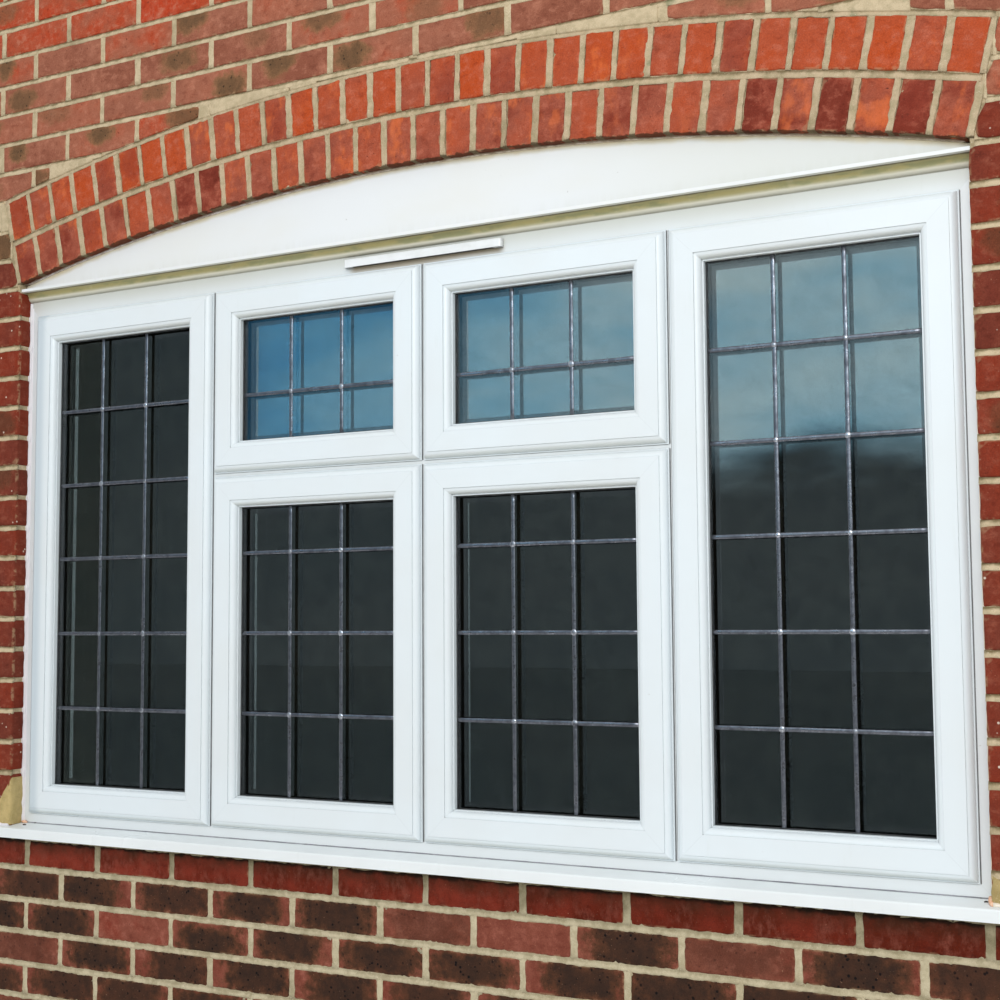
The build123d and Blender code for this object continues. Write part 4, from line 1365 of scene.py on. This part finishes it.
# %% [markdown]
# ## Lead strips and solder
# The small panes are an effect of soft lead strips, 9 mm wide, pressed onto both faces of the
# sealed unit. Where two strips cross, the glazier melts a dot of solder over them. A strip could
# be a curve with a bevel. A bar drawn point by point lets it wander and dent like soft lead.

# %% Lead and solder as finishes
METAL_ROUGHNESS = 0.3


def soft_metal(name, colour, metallic):
    bench = Bench(name, Roughness=METAL_ROUGHNESS, Metallic=metallic)
    dull = bench.noise(55.0, 5.0, 0.65)
    bench.colour = bench.blend(bench.span(dull, 0.35, 0.7), colour, (92, 94, 102))
    bench.over(bench.span(bench.noise(210.0, 2.0), 0.6, 0.75, 0.0, 0.6), (180, 180, 186))
    shine = bench.span(dull, 0.3, 0.7, METAL_ROUGHNESS - 0.08, METAL_ROUGHNESS + 0.15)
    return bench.finish(dull, 0.4, 0.0006, shine)


lead = soft_metal("soft_lead", (134, 136, 144), 0.9)
solder = soft_metal("bright_solder", (206, 208, 216), 0.85)
print("metals:", lead.name, solder.name)

# %% A dot of solder
DOT_RADIUS = 0.0062
DOT_RINGS = ((1.0, 0.0004), (0.85, 0.0014), (0.5, 0.0021))
DOT_TOP = 0.0024
DOT_AROUND = 12


def solder_dot(heap, x, z, face, out, draw):
    """A flattened dome, a little out of round."""
    rings = []
    size = DOT_RADIUS * draw.uniform(0.85, 1.15)
    for radius, rise in DOT_RINGS:
        ring = []
        for k in range(DOT_AROUND):
            turn = 2 * math.pi * k / DOT_AROUND
            uneven = noise.noise(Vector((x * 40 + math.cos(turn), z * 40 + math.sin(turn), 1)))
            reach = size * radius * (1 + 0.12 * uneven)
            ring.append(heap.add((x + reach * math.cos(turn), face + out * rise, z + reach * math.sin(turn))))
        rings.append(ring)
    top = heap.add((x, face + out * DOT_TOP, z))
    heap.sleeve(rings)
    for k, point in enumerate(rings[-1]):
        heap.faces.append((point, rings[-1][(k + 1) % DOT_AROUND], top))
    heap.faces.append(tuple(reversed(rings[0])))


print("a dot stands", DOT_TOP, "m proud")

# %% Lay the lead on each light
LEAD_HALF = 0.0043
LEAD_PROUD = 0.0009
LEAD_SPACING = 0.069
LEAD_SHIFT = -0.004
LEAD_LEVELS = (1.286, 1.467, 1.649, 1.830, 2.0125)
LEAD_STEP = 0.018
LEAD_PROFILE = ((-1.0, 0.0), (-0.8, -0.0007), (-0.35, -0.0012), (0.35, -0.0012), (0.8, -0.0007), (1.0, 0.0))
SIGHT_EDGE = 0.070
FREE_EDGE = 0.04
THIN_BACK = 0.0002
FACES_OF_GLASS = ((GLASS_FRONT, -1), (GLASS_BACK, 1))


def lay_strip(heap, start, end, face, out):
    strike(heap, points_along(start, end, LEAD_STEP), LEAD_HALF, LEAD_PROFILE, 0.4, face, -out, THIN_BACK)


lead_draw = random.Random(9)
lead_heap, dot_heap = Heap(), Heap()
for sash in GLASS_OF_SASH:
    left, right, bottom, top = sash_edges(sash, SIGHT_EDGE)
    uprights = [(left + right) / 2 + LEAD_SHIFT + side * LEAD_SPACING for side in (-1, 1)]
    levels = [z for z in LEAD_LEVELS if bottom + FREE_EDGE < z < top - FREE_EDGE]
    for face, out in FACES_OF_GLASS:
        for x in uprights:
            lay_strip(lead_heap, (x, bottom), (x, top), face, out)
        for z in levels:
            lay_strip(lead_heap, (left, z), (right, z), face, out)
            for x in uprights:
                solder_dot(dot_heap, x, z, face + out * LEAD_PROUD, out, lead_draw)
lead_heap.piece("lead_strips", lead, "spacer_metal")
dot_heap.piece("solder_dots", solder, "spacer_metal")

# %% [markdown]
# ## Gaskets
# A rubber wedge seals the glass to the sash on both sides. It is made dark, so that besides the
# rubber it paints the thin line of shade round every pane, which makes the white profiles look
# crisp. A dark colour painted on the sash would do at a distance; a real bead also catches the light.

# %% Rubber and painted shade round every pane
GASKET_HALF = 0.0016
GASKET_PROFILE = ((-1.0, 0.0), (-0.8, -0.0011), (0.0, -0.0016), (0.8, -0.0011), (1.0, 0.0))
SIGHT_LINE = 0.0722
LONG_STEP = 0.06


# Two dark greys, for the gaskets and for the plate of painted shade in the hood's slot.
def rubber(name):
    return mottled(name, (38, 40, 43), (72, 74, 74), (120.0,), (0.3, 0.0003), 0.4, 0.75, Roughness=0.6)


gasket_and_shade_heap = Heap()
for sash in GLASS_OF_SASH:
    left, right, bottom, top = sash_edges(sash, SIGHT_LINE + GASKET_HALF * 0.6)
    sides = [((left, bottom), (right, bottom)), ((left, top), (right, top)),
             ((left, bottom), (left, top)), ((right, bottom), (right, top))]
    for (face, out), (start, end) in itertools.product(FACES_OF_GLASS, sides):
        line = points_along(start, end, LONG_STEP)
        strike(gasket_and_shade_heap, line, GASKET_HALF, GASKET_PROFILE, 0.0, face, -out, THIN_BACK)
gasket_and_shade_heap.piece("glass_gaskets_and_shade", rubber("gasket_rubber_and_shade"), "spacer_metal")

# %% [markdown]
# ## Weather seals and painted shade lines
# A closed sash presses on a rubber seal on the frame. Its grey also paints the shade of the gap: a
# fine grey line beside the sash and a finer, paler one under it. A grey bead along the joint of frame
# and sill paints the thin line of shade there. They are bars like the joints of the wall, only much
# thinner, so the same tool draws them.

# %% Seals with painted shade round the sashes, and a painted shadow line at the foot of the frame
SEAL_HALF = 0.0009
SEAL_PROFILE = ((-1.0, 0.0), (-0.7, -0.0009), (0.7, -0.0009), (1.0, 0.0))
FRAME_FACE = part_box("mullion_left")[0][1]
SILL_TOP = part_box("outer_sill")[1][2]


def grey_bead(name, light, dark):
    cloud = (1.0, 5.0, 0.7, (30.0, 60.0, 60.0))
    return mottled(name, light, dark, cloud, (0.4, 0.0005), Roughness=0.6)


def lay_seal(heap, start, end, half, rough=0.2, step=LONG_STEP):
    strike(heap, points_along(start, end, step), half, SEAL_PROFILE, rough, FRAME_FACE, 1, THIN_BACK)


seal_and_gap_shade_heap, sash_foot_seal_and_shade_heap, frame_foot_shadow_heap = Heap(), Heap(), Heap()
# Grey seals beside and under each sash, which also paint the shade of the gap.
for sash in GLASS_OF_SASH:
    left, right, bottom, top = sash_edges(sash, -SEAL_HALF - 0.0004)
    for x in (left, right):
        lay_seal(seal_and_gap_shade_heap, (x, bottom + 0.002), (x, top - 0.002), SEAL_HALF * 0.75)
    foot = bottom + SEAL_HALF
    lay_seal(sash_foot_seal_and_shade_heap, (left + 0.004, foot), (right - 0.004, foot), SEAL_HALF * 0.6)
# Painted shadow: a grey line along the joint of frame and sill.
shadow_line_end, shadow_line_z = HALF_OPENING - 0.006, SILL_TOP + 0.0008
lay_seal(frame_foot_shadow_heap, (-shadow_line_end, shadow_line_z), (shadow_line_end, shadow_line_z), 0.0010, 0.6, 0.02)
seal_and_gap_shade_heap.piece("weather_seals_and_gap_shade", grey_bead("seal_and_gap_shade_grey", (122, 120, 122), (84, 82, 84)), "spacer_metal")
sash_foot_seal_and_shade_grey = grey_bead("sash_foot_shade_grey", (188, 192, 194), (150, 154, 156))
sash_foot_seal_and_shade_heap.piece("sash_foot_seals_and_shade", sash_foot_seal_and_shade_grey, "spacer_metal")
frame_foot_shadow_heap.piece("frame_foot_shadow_line", grey_bead("frame_foot_shadow_grey", (162, 162, 170), (116, 116, 124)), "spacer_metal")

# %% [markdown]
# ## Painted shade in the slot of the ventilator
# The hood is open below. A thin dark plate in its slot paints the shade of the opening, which
# shows as a dark line under the hood.

# %% A dark plate of painted shade in the slot of the hood
HOOD_CAP = 0.021
slot_shade_low = (hood_low[0] + HOOD_CAP, hood_low[1] + 0.003, hood_low[2] + 0.0008)
slot_shade_high = (hood_high[0] - HOOD_CAP, FRAME_FACE - 0.0004, hood_low[2] + 0.0018)
slot_shade_heap = Heap()
thin_box(slot_shade_heap, slot_shade_low, slot_shade_high)
slot_shade_heap.piece("vent_slot_shade", rubber("slot_shade_black"), "spacer_metal", smooth=False)

# %% [markdown]
# ## Inside the wall and the room
# Behind the bricks come mineral wool, a leaf of grey blocks and painted plaster. The cut ends of
# the bay show them as a section, so each has its own grain: fibres, open pores, roller marks.
# These faces are flat on the real wall as well, so bump is enough and no shape is added.

# %% Finishes of the inner leaf
def mineral_wool(name):
    bench = Bench(name, Roughness=1.0)
    layers = bench.noise(1.0, 6.0, 0.7, (30.0, 160.0, 22.0))
    tufts = bench.noise(70.0, 6.0, 0.7)
    bench.colour = bench.blend(bench.span(layers, 0.3, 0.7), (196, 172, 104), (222, 202, 138))
    bench.over(bench.span(tufts, 0.55, 0.75, 0.0, 0.6), (158, 132, 78))
    return bench.finish(bench.sum(layers, tufts), 1.0, 0.004)


def grey_block(name, colour, darker, pore_scale):
    bench = Bench(name, Roughness=0.95)
    stones = bench.noise(pore_scale, 4.0, 0.7)
    pores = bench.span(bench.noise(pore_scale * 1.6, 1.0), 0.36, 0.30)
    bench.colour = bench.blend(bench.span(bench.noise(8.0), 0.3, 0.7), colour, darker)
    bench.over(bench.span(stones, 0.55, 0.75, 0.0, 0.6), (186, 184, 176))
    bench.over(pores, (70, 70, 68))
    return bench.finish(bench.sum(stones, bench.times(pores, -1.0)), 0.9, 0.0022)


coat(["cavity_insulation"], mineral_wool("mineral_wool"))
block_finish = grey_block("open_grey_block", (150, 148, 142), (128, 127, 122), 150.0)
coat(["block_apron", "block_pier_left", "block_pier_right", "block_wall_over"], block_finish)
coat(["inner_lintel"], grey_block("cast_lintel", (172, 170, 162), (156, 154, 147), 60.0))
print("wool, blocks and lintel are finished")


# %% Finishes of the room side
def painted_plaster(name):
    bench = Bench(name, Roughness=0.85)
    roller = bench.noise(190.0, 3.0, 0.6)
    waves = bench.noise(2.4, 3.0)
    bench.colour = bench.blend(bench.span(waves, 0.3, 0.7), (231, 227, 217), (227, 223, 212))
    bench.over(bench.span(roller, 0.5, 0.8, 0.0, 0.3), (240, 237, 230))
    return bench.finish(bench.sum(roller, bench.times(waves, 2.0)), 0.45, 0.0012)


def painted_board(name):
    bench = Bench(name, Roughness=0.35)
    brush = bench.noise(1.0, 4.0, 0.6, (4.0, 160.0, 160.0))
    knots = bench.noise(1.0, 2.0, stretch=(3.0, 14.0, 14.0))
    bench.colour = bench.blend(bench.span(brush, 0.35, 0.7), (236, 235, 229), (228, 227, 220))
    bench.over(bench.span(knots, 0.6, 0.75, 0.0, 0.25), (212, 206, 186))
    return bench.finish(brush, 0.4, 0.0007)


def powder_coat(name):
    """Paint that was baked onto the metal handles, with the skin of an orange."""
    bench = Bench(name, Roughness=0.3, Coat_Weight=0.2)
    bench.colour = bench.blend(bench.span(bench.noise(40.0), 0.3, 0.75), (238, 238, 236), (226, 226, 222))
    return bench.finish(bench.noise(420.0, 2.0), 0.25, 0.0003)


coat(["plaster_apron", "plaster_left", "plaster_right", "plaster_over"], painted_plaster("painted_plaster"))
coat(["window_board"], painted_board("painted_board"))
coat(["window_handles"], powder_coat("powder_coat"))
print("plaster, board and handles are finished")

# %% [markdown]
# ## Sealant
# The fitter closes the corner of frame and brick with a bead pressed in by finger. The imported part
# holds its plain run. Here it gets its skin, and over it the smears that bulge into each hollow
# between two bricks and round the horns of the sill. A curve with a bevel would be even; a rope
# drawn ring by ring can be thick and thin.

# %% The skin of the sealant
def sealant_skin(name):
    """Cream, whiter to the left, with mould, and brown dirt with a painted shadow line along the arch."""
    bench = Bench(name, Roughness=0.38, Specular_IOR_Level=0.5)
    x, _, level = bench.split(bench.place)
    finger = bench.noise(1.0, 3.0, stretch=(60.0, 60.0, 14.0))
    mould = bench.noise(65.0, 5.0, 0.7)
    bench.colour = bench.blend(bench.span(finger, 0.3, 0.7), (238, 230, 216), (230, 218, 200))
    bench.over(bench.span(x, 0.2, -0.6), (234, 231, 235))
    bench.over(bench.span(mould, 0.60, 0.76, 0.0, 0.5), (150, 138, 108))
    # Brown dirt and a painted shadow line where the sealant meets the arch bricks.
    radius = bench.ragged(bench.arch_radius(), mould, 0.2, 0.8, 0.002)
    near_bricks = bench.span(radius, INTRADOS - 0.007, INTRADOS - 0.002)
    dirt_and_shadow_along_arch = bench.times(near_bricks, bench.span(level, SPRINGING_Z - 0.01, SPRINGING_Z))
    bench.over(bench.times(dirt_and_shadow_along_arch, 0.8), (128, 98, 58))
    return bench.finish(finger, 0.6, 0.0016)


sealant_finish = sealant_skin("sealant_skin")
coat(["sealant"], sealant_finish)
print("the sealant has its skin")


# %% A rope that can be thick and thin
def bead(heap, line, radii, around=8):
    """A rope along line, a list of (x, y, z), as thick at each point as radii says."""
    rings = []
    for k, point in enumerate(line):
        before, after = Vector(line[max(k - 1, 0)]), Vector(line[min(k + 1, len(line) - 1)])
        along = (after - before).normalized()
        side = along.cross(Vector((0.3, 1.0, 0.2))).normalized()
        out = side.cross(along)
        ring = []
        for i in range(around):
            turn = 2 * math.pi * i / around
            uneven = noise.noise(Vector(point) * 80 + Vector((math.cos(turn), math.sin(turn), 0)))
            reach = radii[k] * (1 + 0.15 * uneven)
            ring.append(heap.add(Vector(point) + (side * math.cos(turn) + out * math.sin(turn)) * reach))
        rings.append(ring)
    heap.skin(rings)


SILL_FALL = 0.0947


def sill_level(y):
    """Height of the sloping sill at this place."""
    return SILL_TOP + SILL_FALL * (y - FRAME_FACE)


print("sill level at the wall's face:", round(sill_level(FACE_Y), 4))

# %% Smears at the jambs and at the horns of the sill
SMEAR_STEPS = 260
SMEAR_RADIUS, SMEAR_BULGE, BULGE_REACH = 0.0036, 0.0032, 0.014
HORN_END, HORN_STEP, HORN_STEPS = 1.216, 0.004, 15
TRIM_FOOT = trim_low[2]


def smear_size(z, side):
    """Thickness of the bead: it bulges at each bed joint, where the brick edge leaves a hollow."""
    to_joint = abs((z - BED / 2 + COURSE / 2) % COURSE - COURSE / 2)
    bulge = SMEAR_BULGE * max(0.0, 1 - to_joint / BULGE_REACH)
    return SMEAR_RADIUS + bulge + 0.0013 * noise.noise(Vector((side * 3, 1.7, z * 22)))


smear_heap = Heap()
for side in (-1, 1):
    levels = [SILL_TOP - 0.002 + (TRIM_FOOT - SILL_TOP) * i / SMEAR_STEPS for i in range(SMEAR_STEPS + 1)]
    line = [(side * (HALF_OPENING - 0.0040), FRAME_FACE - 0.0008, z) for z in levels]
    bead(smear_heap, line, [smear_size(z, side) for z in levels])
horn_y = FACE_Y - 0.0050
for side in (-1, 1):
    line = [(side * (HORN_END - HORN_STEP * i), horn_y, sill_level(horn_y) + 0.0012) for i in range(HORN_STEPS)]
    bead(smear_heap, line, [0.0048 + 0.0022 * noise.noise(Vector(p) * 70) for p in line])
smear_heap.piece("sealant_smears", sealant_finish, "spacer_metal")

# %% [markdown]
# ## Repairs at the foot of the jambs
# Mortar is smeared over the corner of jamb and sill, higher at the left, and ends of foam and dark
# crumbs lie on the sill. They could be left out as dirt, but they are bodies with a shadow. The
# patches are drawn as a brick with a sloping top, the rest as short ropes.

# %% Mortar smeared over the foot of both jambs
PATCH_FOOT = sill_level(FACE_Y)
PATCH_SIDE = JAMB_X - 0.0016
PATCH_PROUD = 0.0014
patch_heap = Heap()


def smear_patch(width, top, slope, side, dirt, seed):
    """A patch from the jamb corner outward. Its top falls away from the corner by slope."""
    def height_at(a):
        from_corner = width - a if side < 0 else a
        return PATCH_FOOT, top - slope * from_corner

    def place(a, b, d):
        left = -PATCH_SIDE - width if side < 0 else PATCH_SIDE + 0.0022
        return left + a, FACE_Y + d - PATCH_PROUD, b

    lay_brick(patch_heap, width, height_at, place, (dirt, 0.0, 0.0), random.Random(seed), 6, 8, 2.0,
              rounds=(0.005, 0.005))


smear_patch(width=0.058, top=1.119, slope=1.55, side=-1, dirt=-1.0, seed=71)
smear_patch(width=0.030, top=1.056, slope=0.7, side=1, dirt=1.0, seed=72)
patch_mortar = mortar("patch_mortar", (198, 176, 122), (176, 156, 104), (128, 110, 76), 0.3)
patch_heap.piece("mortar_patches", patch_mortar, "brick")


# %% Foam and crumbs on the sill
def foam(name, dark, light):
    return mottled(name, dark, light, (240.0, 3.0), (0.6, 0.0008), Roughness=0.8)


foam_heap, crumb_heap = Heap(), Heap()
right_end = [(1.1510, -0.034, 1.0125), (1.1540, -0.042, 1.0080), (1.1575, -0.052, 1.0045), (1.1620, -0.0585, 1.0030)]
left_end = [(-1.1530, -0.0185, 1.0085), (-1.1460, -0.0175, 1.0085), (-1.1380, -0.0165, 1.0070)]
bead(foam_heap, right_end, [0.0036, 0.0056, 0.0050, 0.0040])
bead(foam_heap, left_end, [0.0022, 0.0040, 0.0014])
foam_heap.piece("foam_ends", foam("foam_ends", (234, 168, 126), (248, 210, 182)), "spacer_metal")
for x, y, half in (
    (-1.1253, -0.0374, 0.0042),
    (-1.1131, -0.0140, 0.0026),
    (1.1440, -0.0353, 0.0036),
    (1.1313, -0.0140, 0.0018),
):
    line = [(x + half * t, y + 0.3 * half * t, sill_level(y) + 0.0008) for t in (-1, -0.4, 0.4, 1)]
    bead(crumb_heap, line, [half * share for share in (0.25, 0.5, 0.45, 0.2)])
crumb_heap.piece("sill_crumbs", foam("dark_crumbs", (44, 38, 34), (84, 74, 66)), "brick")

# %% [markdown]
# ## Floor and light
# A pale floor carries the wall. The light is soft: an even world and one large box high in front,
# on the right. A wide sky card in front is there only for the glass, which mirrors it. The card
# is dark below and pale blue above, and neither the camera nor a matt face sees it.

# %% Floor
FLOOR_HALF = 40.0


def sheet(name, corners, material):
    """One flat face that belongs to the studio."""
    mesh = bpy.data.meshes.new(name)
    mesh.from_pydata(corners, [], [(0, 1, 2, 3)])
    mesh.materials.append(material)
    obj = bring_in(name, mesh)
    return obj


floor_paint = mottled("floor_paint", (226, 226, 224), (221, 221, 219), (0.8, 3.0), Roughness=0.8)
floor_corners = [(x * FLOOR_HALF, y * FLOOR_HALF, 0) for x, y in ((-1, -1), (1, -1), (1, 1), (-1, 1))]
sheet("studio_floor", floor_corners, floor_paint)
print("floor", 2 * FLOOR_HALF, "m wide")

# %% Sky card
CARD_Y, CARD_HALF, CARD_TOP = -7.4, 12, 7
card_bench = Bench("sky_card")
card_bench.tree.nodes.remove(card_bench.shader)
card_x, _, card_z = card_bench.split(card_bench.place)
haze = card_bench.noise(1.0, 5.0, stretch=(0.22, 1.0, 0.75))
skyline = card_bench.ragged(card_z, haze, 0.3, 0.7, 0.25)
open_sky = card_bench.times(card_bench.span(skyline, 2.48, 2.86), card_bench.span(card_x, -6.9, -6.0))
brighter = card_bench.sum(haze, card_bench.span(card_x, -8.0, -2.5, -0.06, 0.10))
sky = card_bench.ramp(brighter, (
    (0.32, (0.07, 0.36, 0.72, 1)),
    (0.44, (0.18, 0.52, 0.82, 1)),
    (0.56, (0.42, 0.76, 0.98, 1)),
    (0.70, (0.82, 1.0, 1.06, 1)),
))
below = card_bench.blend(card_bench.span(haze, 0.3, 0.7), (0.010, 0.011, 0.009, 1), (0.030, 0.026, 0.020, 1))
glow = {"Color": card_bench.blend(open_sky, below, sky), "Strength": 1.35}
surface = card_bench.tree.nodes["Material Output"].inputs["Surface"]
card_bench.plug(card_bench.node("Emission", glow, out="Emission"), surface)
card_corners = [(x * CARD_HALF, CARD_Y, z * CARD_TOP) for x, z in ((-1, 0), (1, 0), (1, 1), (-1, 1))]
card = sheet("sky_card", card_corners, card_bench.material)
card.visible_camera = False
card.visible_diffuse = False
print("sky card at y", CARD_Y)

# %% World and lamps
WARM_WHITE = (1.0, 0.98, 0.95)
world = bpy.data.worlds.new("studio")
bpy.context.scene.world = world
world.use_nodes = True
background = world.node_tree.nodes["Background"]
background.inputs["Color"].default_value = (0.96, 0.98, 1.0, 1)
background.inputs["Strength"].default_value = 0.72


def soft_box(name, place, aim, size, watts):
    """A soft rectangle of light at place that shines at aim."""
    lamp = bpy.data.lights.new(name, "AREA")
    lamp.shape = "RECTANGLE"
    lamp.size, lamp.size_y = size
    lamp.energy = watts
    lamp.color = WARM_WHITE
    obj = bring_in(name, lamp)
    obj.location = place
    obj.rotation_euler = (Vector(aim) - Vector(place)).to_track_quat("-Z", "Y").to_euler()


soft_box("front_box", (1.8, -5.5, 4.3), (0, 0, 1.6), (2.8, 3.0), 180)
soft_box("back_box", (1.5, 4.2, 4.6), (0, 0.2, 1.5), (3.5, 2.5), 110)
print("an even world and two soft boxes")

# %% [markdown]
# ## The camera
# Sixty brick joints of the photograph gave the camera's place, aim and lens. It stands at eye
# level near the right-hand end of the window, and looks 28.6 degrees to the left and a little up.

# %% Camera
CAMERA_PLACE = Vector((1.6810, -2.75505, 1.4911))
YAW, PITCH_UP, ROLL = 0.4994, 0.0798, -0.0064
LENS, SENSOR = 54.43, 36.0
forward = Vector((-math.sin(YAW) * math.cos(PITCH_UP), math.cos(YAW) * math.cos(PITCH_UP), math.sin(PITCH_UP)))
level_right = Vector((math.cos(YAW), math.sin(YAW), 0))
level_up = level_right.cross(forward)
right = level_right * math.cos(ROLL) + level_up * math.sin(ROLL)
up = level_up * math.cos(ROLL) - level_right * math.sin(ROLL)
camera_data = bpy.data.cameras.new("camera")
camera_data.lens = LENS
camera_data.sensor_width = SENSOR
camera = bring_in("camera", camera_data)
turned = Matrix((right, up, -forward)).transposed()
camera.matrix_world = Matrix.Translation(CAMERA_PLACE) @ turned.to_4x4()
bpy.context.scene.camera = camera
bpy.context.scene.view_settings.view_transform = "Standard"
print("camera looks", round(math.degrees(YAW), 1), "degrees left")

# %% [markdown]
